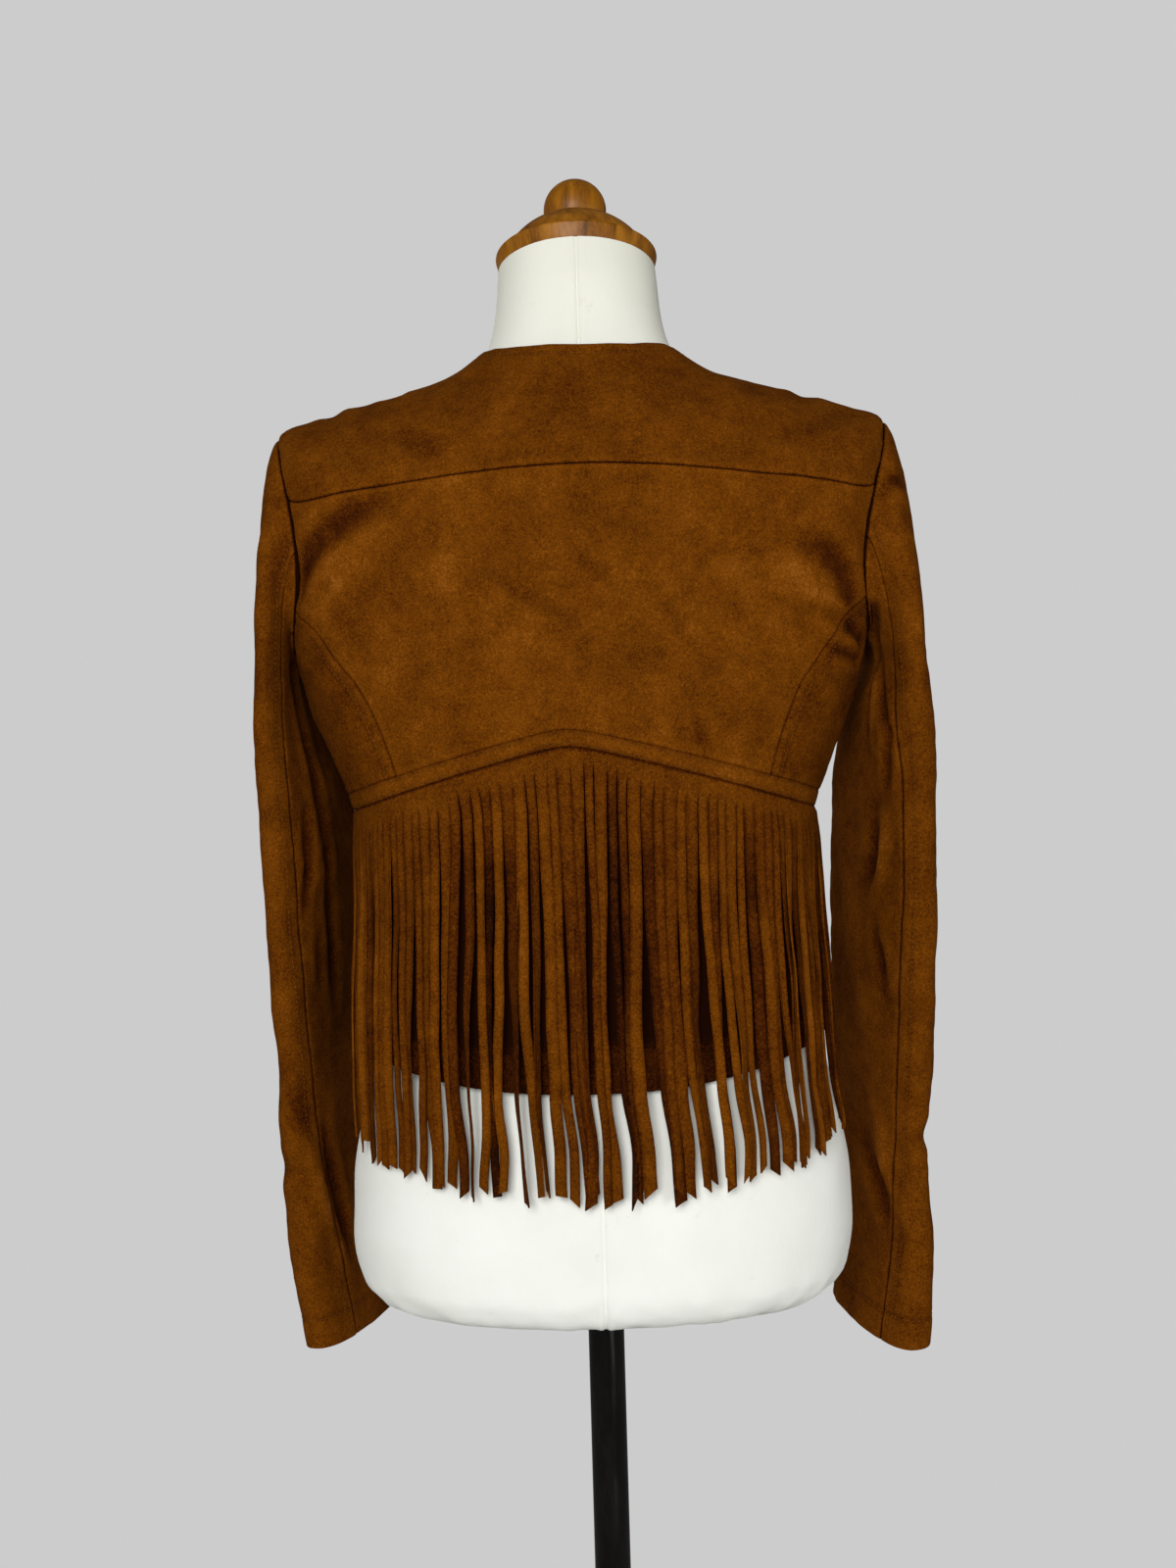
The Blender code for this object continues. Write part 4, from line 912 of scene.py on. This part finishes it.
def plain_strips(draw, cuts, across, part):
    """Strips as their plain shares of the fringe's surface: sewn to the body, then free to hang.

    Gives their points, as strip, station, place across, and the turn of each one's middle.
    """
    count = len(cuts) - 1
    top_turn = cuts[:-1, None] + (cuts[1:] - cuts[:-1])[:, None] * (across + 1) / 2
    top = band_edge(top_turn.ravel(), BAND_WIDTH)[:, 1].reshape(top_turn.shape) - 0.0002
    middle = top_turn[:, 2]
    tip = FRINGE_TIP_Z + FRINGE_TIP_RISE * (1 - np.cos(np.radians(middle)) ** 2)
    tip = tip + 0.020 * np.abs(middle / FRINGE_TURN) ** 9 + draw.uniform(-0.0020, 0.0080, count)
    tips = tip[:, None] + draw.uniform(-0.0045, 0.0045, count)[:, None] * across
    outer = np.abs(top_turn / FRINGE_TURN) ** 1.5
    narrow = 1 - (1 - FRINGE_TIP_TURN / FRINGE_TURN) * outer[:, None, :] * part[None, :, None]
    level = top[:, None, :] + (tips - top)[:, None, :] * part[None, :, None]
    turn = top_turn[:, None, :] * narrow
    sewn = body_point(turn, level)
    lift = 0.0016 * ease(0.0, 0.02, part)[None, :, None] - 0.0004 + 0.0006 * waves(sewn, 0.038, 5)
    sewn[..., :2] += unit(sewn[..., :2]) * lift[..., None]
    leave = ease(0.0, 0.13, part)[None, :, None, None]
    return sewn + (fringe_point(turn, level) - sewn) * leave, middle


def strip_faces(count, stations, sides):
    """Faces of all the strips, tubes with both ends closed, and which of them are cut edges."""
    tube = quads_of(stations, sides, wrap=True)
    on_edge = np.isin(np.tile(np.arange(sides), stations - 1), (sides // 2 - 1, sides - 1))
    last = (stations - 1) * sides
    pairs = [(k, sides - 1 - k) for k in range(sides // 2 - 1)]
    ends = [(a, b, b - 1, a + 1) for a, b in pairs]
    ends += [(last + a, last + a + 1, last + b - 1, last + b) for a, b in pairs]
    offset = np.arange(count)[:, None, None] * stations * sides
    caps = (np.array(ends)[None] + offset).reshape(-1, 4)
    faces = np.concatenate([(tube[None] + offset).reshape(-1, 4), caps])
    return faces.tolist(), np.concatenate([np.tile(on_edge, count), np.ones(len(caps), dtype=bool)])


def make_fringe(suede, cut_edge):
    """Fringe: one band of suede cut into strips from below its seam.

    A strip's plain form is its share of the fringe's surface. Below its cut it narrows,
    its middle wanders sideways and outwards, its section turns about its own length and
    curls, and its tip is cut at a slant. Towards the sides the strips lie closer.
    """
    draw = np.random.default_rng(41)
    count = FRINGE_STRIPS
    cuts = np.concatenate([[0.0], np.cumsum(draw.uniform(0.78, 1.25, count))])
    cuts = -FRINGE_TURN + 2 * FRINGE_TURN * cuts / cuts[-1]
    across = np.linspace(-1.0, 1.0, 5)
    part = np.concatenate([np.linspace(0, 0.075, 10)[:-1], np.linspace(0.075, 1, FRINGE_STATIONS - 9)])
    plain, middle = plain_strips(draw, cuts, across, part)
    centre = plain[:, :, 2:3]
    aside = unit((plain[:, :, 3:4] - plain[:, :, 1:2]) * np.array([1.0, 1.0, 0.0]))
    out = np.cross(aside, np.array([0.0, 0.0, 1.0]))
    out = out * np.sign(np.sum(out[..., :2] * centre[..., :2], axis=-1, keepdims=True))
    share = np.sum((plain - centre) * aside, axis=-1)

    head = 0.022 + 0.012 * ease(0.0, 60.0, cuts) + draw.uniform(-0.008, 0.014, count + 1)
    opened = [ease(0.0, 0.045, part[None] - edge[:, None]) for edge in (head[:-1], head[1:])]
    cut = np.minimum(opened[0], opened[1])
    free = cut * ease(-0.06, 0.30, part[None] - head[:-1, None])
    dense = ease(35.0, 60.0, middle)
    slim = (draw.uniform(*FRINGE_SLIM, count) * (1 - dense) + 0.97 * dense)[:, None]
    slim = slim - 0.02 * strip_waves(draw, part, count, 1.0)
    kept = [(1 - (1 - slim) * open_edge)[..., None] for open_edge in opened]
    share = share * np.where(across < 0, kept[0], np.where(across > 0, kept[1], 1.0))
    half = np.abs(share).max(axis=-1)

    layer = np.where(np.arange(count) % 2 == 0, 0.0, 1.0)[:, None]
    wander = free * part * strip_waves(draw, part, count, 0.0028) * (1 - 0.6 * dense)[:, None]
    lean = draw.normal(0.0, 0.0016, count)[:, None] * part
    bias = draw.normal(0.0, math.radians(FRINGE_TWIST), count)
    bold = draw.uniform(size=count) < FRINGE_BOLD
    bias = np.where(bold, np.sign(bias) * draw.uniform(math.radians(50), math.radians(80), count), bias)
    twist = free * (bias[:, None] * ease(0.0, 0.8, part)[None] + strip_waves(draw, part, count, 0.30))
    twist = np.clip(twist, -1.45, 1.45) * (1 - 0.45 * dense)[:, None]
    stand = free * (FRINGE_LAYER * layer + draw.uniform(0.0, 0.0008, count)[:, None])
    stand = stand + 0.92 * half * np.abs(np.sin(twist))
    stand = stand * (0.3 + 0.7 * np.cos(np.radians(middle)))[:, None]
    curl = free * (draw.normal(0.0, 0.10, count)[:, None] + 0.05)
    turn_cos, turn_sin = np.cos(twist)[..., None, None], np.sin(twist)[..., None, None]
    face = turn_cos * out - turn_sin * aside
    way = turn_cos * aside + turn_sin * out
    bend = (curl * half)[..., None] * ((share / half[..., None]) ** 2 - 0.4)
    points = centre + aside * (wander + free * lean)[..., None, None] + out * stand[..., None, None]
    points = points + way * share[..., None] + face * bend[..., None]
    points[..., 2] += (plain - centre)[..., 2]
    outer, under = points + face * STRIP_WALL / 2, points - face * STRIP_WALL / 2
    ring = np.concatenate([outer, under[:, :, ::-1]], axis=2)

    faces, on_edge = strip_faces(*ring.shape[:3])
    # Each strip gets a random tone of its own, plus painted shade that darkens the strips hanging nearer the
    # body.
    shade = draw.normal(0.0, 0.10, count)[:, None] - 0.12 * (1 - layer)
    edges = np.concatenate([across, across[::-1]]) ** 4
    seam = 0.4 * bell(part, 0.0032)[None, :, None]
    # Painted shade towards each strip's cut edges, where the strips have parted.
    tone = 0.5 + (shade * free)[..., None] - FRINGE_EDGE_SHADE * cut[..., None] * edges - seam
    item = mesh_object("fringe", ring, faces, [suede, cut_edge], tone, sharp=45)
    item.data.polygons.foreach_set("material_index", on_edge.astype(np.int32))
    pieces["fringe"] = outwards(item)


# ---- Dress form ----
def make_form(cover):
    """Covered torso: fine rings with a sewn seam down the centre back, closed above and below."""
    near = np.array([0.0, 0.25, 0.5, 0.8, 1.2, 1.8, 2.6, 3.6])
    half = np.concatenate([near, np.linspace(3.6, 180, 84)[1:-1]])
    turn = np.concatenate([half, [180.0], -half[:0:-1]])[None, :]
    level = np.concatenate([np.linspace(0.780, 0.800, 8)[:-1], np.linspace(0.800, 1.464, 170)])[:, None]
    points = form_point(turn, level)
    outward = normals(form_point, turn, level.clip(0.781, 1.463), np.zeros(2))
    away = np.linalg.norm(points - form_point(0.0, level), axis=-1)
    seam = -0.0011 * bell(away, 0.0011) + 0.0004 * bell(away - 0.0032, 0.0016)
    pull = 0.0005 * np.sin(level * 2 * math.pi / 0.013) * np.exp(-away / 0.006)
    foot = 0.0010 * ease(0.815, 0.785, points[..., 2]) * waves(points, 0.020, 8)
    relief = seam + pull * waves(points, 0.05, 9) + foot + 0.00035 * waves(points, 0.040, 10)
    return ring_solid("form_cover", points + outward * relief[..., None], cover, 60)


def lathe(name, profile, sides, material, tilt=0.0, foot=(0.0, 0.0, 0.0)):
    """Profile of radii and heights turned round its axis, tilted back to front, closed at its ends."""
    angle = np.linspace(0, 2 * math.pi, sides, endpoint=False)
    lean = math.radians(tilt)
    radius, z = profile[:, :1], profile[:, 1:]
    y = radius * np.sin(angle)
    points = np.stack([radius * np.cos(angle), y * math.cos(lean) - z * math.sin(lean),
                       y * math.sin(lean) + z * math.cos(lean)], -1)
    return ring_solid(name, points + np.array(foot), material, 30)


def rounded(corners, radius, steps=5):
    """Outline with each inner corner rounded: a quadratic curve between points beside the corner."""
    corners = np.array(corners, dtype=float)
    part = np.linspace(0, 1, steps)[:, None]
    points = [corners[:1]]
    for before, corner, after in zip(corners[:-2], corners[1:-1], corners[2:]):
        back, forth = before - corner, after - corner
        reach = min(radius, 0.45 * np.linalg.norm(back), 0.45 * np.linalg.norm(forth))
        start, end = corner + unit(back) * reach, corner + unit(forth) * reach
        points.append((1 - part) ** 2 * start + 2 * part * (1 - part) * corner + part ** 2 * end)
    return np.concatenate(points + [corners[-1:]])


def make_wood(wood):
    """Neck cap, a band under a low dome, and the ball finial on it, on the neck's tilted axis."""
    lean = math.radians(NECK_TILT)
    foot = np.array([0.0, 0.0, NECK_TOP_Z]) + np.array([0.0, -math.sin(lean), math.cos(lean)]) * JOIN_GAP
    band = rounded(CAP_BAND_OUTLINE, 0.0009)
    radii = np.linspace(0.0489, 0.0215, 30)
    rise = CAP_DOME_FOOT + CAP_DOME_HEIGHT * np.sqrt(1 - (radii / CAP_DOME_RADIUS) ** 2)
    dome = np.stack([radii, rise], axis=-1)
    cap = lathe("neck_cap_wood", np.concatenate([band, dome]), 96, wood, NECK_TILT, foot)
    seat = dome[-1, 1] + JOIN_GAP
    angle = np.linspace(math.acos((FINIAL_CENTRE - seat) / FINIAL_RADIUS), math.radians(178), 40)
    ball = np.stack([FINIAL_RADIUS * np.sin(angle), FINIAL_CENTRE - FINIAL_RADIUS * np.cos(angle)], axis=-1)
    return cap, lathe("finial_wood", ball, 72, wood, NECK_TILT, foot)


def make_stand(enamel):
    """Pole and plain round base with a raised collar."""
    low, high = BASE_COLLAR_Z + JOIN_GAP, FORM_ROWS[0][1] - JOIN_GAP
    pole = rounded([(POLE_RADIUS - 0.001, low), (POLE_RADIUS, low),
                    (POLE_RADIUS, high), (POLE_RADIUS - 0.001, high)], 0.0004)
    base = rounded([(BASE_RADIUS - 0.004, 0.0), (BASE_RADIUS, 0.0), (BASE_RADIUS, BASE_EDGE),
                    (BASE_RADIUS * 0.96, BASE_EDGE * 1.6), (BASE_COLLAR * 1.5, BASE_HEIGHT),
                    (BASE_COLLAR, BASE_HEIGHT * 1.3), (BASE_COLLAR * 0.85, BASE_COLLAR_Z),
                    (BASE_COLLAR * 0.6, BASE_COLLAR_Z)], 0.003)
    return lathe("stand_pole", pole, 64, enamel), lathe("stand_base", base, 128, enamel)


# ---- Materials ----
def linear(hex_colour):
    """Linear red, green, blue and alpha of an sRGB hex value."""
    parts = np.array([int(hex_colour[i:i + 2], 16) for i in (1, 3, 5)]) / 255
    parts = np.where(parts <= 0.04045, parts / 12.92, ((parts + 0.055) / 1.055) ** 2.4)
    return (*parts.tolist(), 1.0)


def feed(tree, item, inputs):
    """Sets the inputs of a node. Each is a value, or a socket that it is linked from."""
    for name, value in inputs.items():
        if isinstance(value, bpy.types.NodeSocket):
            tree.links.new(value, item.inputs[name])
        else:
            item.inputs[name].default_value = value


def add(tree, kind, inputs, output=0, **settings):
    """Adds a node with its inputs and settings, and gives one of its outputs."""
    item = tree.nodes.new(kind)
    for name, value in settings.items():
        setattr(item, name, value)
    feed(tree, item, inputs)
    return item.outputs[output]


def started(name):
    """New material with its tree, its shader and the object's own coordinates."""
    item = bpy.data.materials.new(name)
    item.use_nodes = True
    tree = item.node_tree
    return item, tree, tree.nodes["Principled BSDF"], add(tree, "ShaderNodeTexCoord", {}, "Object")


def noise(tree, place, size, **inputs):
    """Noise whose pattern repeats at about a size in millimetres."""
    return add(tree, "ShaderNodeTexNoise", {"Vector": place, "Scale": 1000.0 / size, **inputs}, "Fac")


def drawn_out(tree, place, height):
    """Coordinates whose pattern is drawn out upwards, by a scale of the height."""
    return add(tree, "ShaderNodeMapping", {"Vector": place, "Scale": (1.0, 1.0, height)})


def weighted(tree, pattern, weight, total):
    """A pattern times its weight, added to a total."""
    return add(tree, "ShaderNodeMath", {0: pattern, 1: weight, 2: total}, operation="MULTIPLY_ADD")


def multiplied(tree, share, base, tint):
    """A share of a colour multiplied by a tint."""
    return add(tree, "ShaderNodeMix", {0: share, 6: base, 7: tint}, 2,
               data_type="RGBA", blend_type="MULTIPLY")


def bumped(tree, strength, distance, height):
    """Normal of a small relief."""
    return add(tree, "ShaderNodeBump", {"Strength": strength, "Distance": distance, "Height": height})


def ramp(tree, factor, stops):
    """Colour ramp with its stops as places and sRGB hex values."""
    colour = add(tree, "ShaderNodeValToRGB", {"Fac": factor})
    band = colour.node.color_ramp
    while len(band.elements) < len(stops):
        band.elements.new(0.5)
    for element, (place, value) in zip(band.elements, stops):
        element.position = place
        element.color = linear(value)
    return colour


def suede_material(name, lift):
    """Split suede, brushed: a dry short nap whose fibres lie in patches, so its tone wanders.

    Blotches of 34 mm are the hide and 9 mm ones the nap pushed to and fro. The grain and
    the fibres are drawn at 1.7 and 0.9 mm, because the real 0.3 mm is too fine to show. It
    has no gloss, only the soft edge light of the fibre tips. lift makes a cut edge paler.
    """
    item, tree, shader, place = started(name)
    patterns = {}
    # The tone attribute holds each piece's own tone plus its painted shade and light: creases, the lower
    # back and the fringe.
    total = add(tree, "ShaderNodeAttribute", {}, "Fac", attribute_name="tone")
    for key, size, detail, weight, bent in SUEDE_PATTERNS:
        patterns[key] = noise(tree, place, size, Detail=detail, Roughness=0.62, Distortion=bent)
        total = weighted(tree, patterns[key], weight, total)
    middle = sum(row[3] for row in SUEDE_PATTERNS) / 2 - lift
    centred = add(tree, "ShaderNodeMath", {0: total, 1: middle}, operation="SUBTRACT")
    relief = weighted(tree, patterns["grain"], 0.7, patterns["fibre"])
    feed(tree, shader, {
        "Base Color": ramp(tree, centred, SUEDE_STOPS), "Normal": bumped(tree, 0.55, 0.0006, relief),
        "Roughness": 0.95, "Specular IOR Level": 0.03,
        "Sheen Weight": 0.05, "Sheen Roughness": 0.45, "Sheen Tint": linear("#B06A20")})
    return item


def thread_material():
    """Spun polyester thread, dyed to the suede: a tight twist, nearly matt."""
    item, tree, shader, place = started("polyester thread")
    fleck = noise(tree, place, 3)
    feed(tree, shader, {"Base Color": ramp(tree, fleck, ((0.3, "#57300A"), (0.7, "#7A4A14"))),
                        "Roughness": 0.8, "Specular IOR Level": 0.05})
    return item


def cover_material():
    """Cotton jersey, bleached and stretched over the form: matt, faintly marked, and slightly darker and
    yellower towards the neck.

    The knit's ribs are drawn 1.6 mm apart, because the real 0.8 mm is too fine to show.
    """
    item, tree, shader, place = started("bleached cotton jersey")
    cloud, spots = noise(tree, place, 70, Detail=4), noise(tree, place, 11, Detail=5, Roughness=0.7)
    base = ramp(tree, cloud, ((0.25, "#ECEDE4"), (0.6, "#F4F5EE"), (1.0, "#F6F7F1")))
    mark = ramp(tree, spots, ((0.66, "#FFFFFF"), (0.82, "#DFDBCB")))
    marked = multiplied(tree, 0.55, base, mark)
    high = add(tree, "ShaderNodeSeparateXYZ", {"Vector": place}, "Z")
    towards_neck = add(tree, "ShaderNodeMapRange", {"Value": high, "From Min": 1.25, "From Max": 1.46})
    knit = noise(tree, drawn_out(tree, place, 0.35), 1.6, Detail=2)
    feed(tree, shader, {
        "Base Color": multiplied(tree, towards_neck, marked, linear("#F2F1EA")),
        "Normal": bumped(tree, 0.25, 0.0005, knit),
        "Roughness": 0.9, "Specular IOR Level": 0.2, "Sheen Weight": 0.08})
    return item


def wood_material():
    """Beech, turned and stained honey under a satin varnish.

    Its grain runs with the neck: fine pores of 1 mm and slow bands of 9 mm, both drawn out
    along the axis, with the short flecks of beech between them.
    """
    item, tree, shader, place = started("turned beech, varnished")
    upright = (-math.radians(NECK_TILT), 0.0, 0.0)
    tilted = add(tree, "ShaderNodeMapping", {"Vector": place, "Rotation": upright})
    grain = drawn_out(tree, tilted, 0.09)
    bands = noise(tree, grain, 9, Detail=3, Distortion=0.6)
    pores = noise(tree, grain, 1.1, Detail=3, Roughness=0.7)
    colour = ramp(tree, weighted(tree, pores, 0.45, bands),
                  ((0.48, "#5A3402"), (0.66, "#824E03"), (0.78, "#935B05"), (0.95, "#A56C10")))
    feed(tree, shader, {
        "Base Color": colour, "Normal": bumped(tree, 0.15, 0.0003, pores), "Roughness": 0.5,
        "Specular IOR Level": 0.25, "Coat Weight": 0.12, "Coat Roughness": 0.3})
    return item


def enamel_material():
    """Black stoving enamel on steel tube: glossy, with dust and fine rubbed patches."""
    item, tree, shader, place = started("black stoving enamel")
    dust = noise(tree, drawn_out(tree, place, 0.25), 14, Detail=6, Roughness=0.7)
    rough = add(tree, "ShaderNodeMapRange", {"Value": dust, "From Min": 0.4, "From Max": 0.75,
                                             "To Min": 0.10, "To Max": 0.26})
    feed(tree, shader, {"Base Color": ramp(tree, dust, ((0.45, "#070504"), (0.75, "#14100C"))),
                        "Roughness": rough, "Coat Weight": 0.3, "Coat Roughness": 0.08})
    return item


# ---- Studio ----
def add_object(name, data, place, turn):
    """Object with its data, place and turn, as a quaternion."""
    item = bpy.data.objects.new(name, data)
    item.location = place
    item.rotation_mode = "QUATERNION"
    item.rotation_quaternion = turn
    bpy.context.collection.objects.link(item)
    return item


def make_camera():
    """Camera level behind the jacket's waist, looking along -Y, with a slight roll."""
    data = bpy.data.cameras.new("camera")
    data.sensor_fit = "VERTICAL"
    data.sensor_height = CAMERA_SENSOR
    data.lens = CAMERA_LENS
    data.shift_x = CAMERA_SHIFT
    turn = (Quaternion((0, 0, 1), math.pi) @ Quaternion((1, 0, 0), math.pi / 2)
            @ Quaternion((0, 0, 1), math.radians(-CAMERA_ROLL)))
    bpy.context.scene.camera = add_object("camera", data, CAMERA_PLACE, turn)


def make_studio():
    """Pale round floor, a plain grey surround and soft lights all round."""
    angle = np.linspace(0, 2 * math.pi, 96, endpoint=False)
    rim = np.stack([1.4 * np.cos(angle), 1.4 * np.sin(angle), np.full(96, -0.0006)], axis=-1)
    paint, tree, shader, place = started("pale floor")
    feed(tree, shader, {"Base Color": linear("#D2D2D0"), "Roughness": 0.8})
    mesh_object("floor", rim, [list(range(96))], [paint])

    height = np.array([-6.0, 8.0])[:, None]
    around = np.stack(np.broadcast_arrays(6 * np.cos(angle), 6 * np.sin(angle), height), axis=-1)
    paint, tree, shader, place = started("grey surround")
    glow = add(tree, "ShaderNodeEmission", {"Color": linear("#CCCCCC"), "Strength": 1.0})
    tree.links.new(glow, tree.nodes["Material Output"].inputs["Surface"])
    surround = mesh_object("surround", around, quads_of(2, 96, wrap=True).tolist(), [paint])
    surround.visible_diffuse = surround.visible_glossy = surround.visible_shadow = False

    world = bpy.data.worlds.new("studio")
    world.use_nodes = True
    sky = world.node_tree
    feed(sky, sky.nodes["Background"], {"Color": linear("#CCCCCC"), "Strength": 0.13})
    bpy.context.scene.world = world
    for name, place, aim, size, power, mirrored in LIGHTS:
        data = bpy.data.lights.new(name, "AREA")
        data.size = size
        data.energy = power
        turn = (Vector(aim) - Vector(place)).to_track_quat("-Z", "Y")
        add_object(name, data, place, turn).visible_glossy = mirrored
    bpy.context.scene.view_settings.view_transform = "Standard"


# ---- Build ----
def place_piece(item, node):
    """Piece that rides on the one body, in place of a solid."""
    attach(item, "root")
    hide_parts(node)


def main():
    """Builds the studio, the jacket and its stitching, and the form on its stand."""
    make_camera()
    make_studio()
    suede = suede_material("brushed suede", 0.0)
    cut_edge = suede_material("suede cut edge", 0.10)
    make_yoke(suede)
    make_back_centre(suede)
    make_back_side(1, "back_side_L", suede)
    make_back_side(-1, "back_side_R", suede)
    make_band(suede)
    make_back_lower(suede)
    make_fringe(suede, cut_edge)
    make_front(1, "front_L", suede)
    make_front(-1, "front_R", suede)
    make_sleeve(1, LEFT_SLEEVE, LEFT_CUFF_TILT, "L", LEFT_SLEEVE_CREASES, suede)
    make_sleeve(-1, RIGHT_SLEEVE, RIGHT_CUFF_TILT, "R", RIGHT_SLEEVE_CREASES, suede)
    stitching = make_stitching(thread_material())
    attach(stitching, "root")
    for name, item in pieces.items():
        item.name = item.data.name = name + "_suede"
        place_piece(item, name)
    cap, ball = make_wood(wood_material())
    pole, base = make_stand(enamel_material())
    place_piece(make_form(cover_material()), "form_torso")
    place_piece(cap, "neck_cap")
    place_piece(ball, "finial")
    place_piece(pole, "pole")
    place_piece(base, "base")


main()
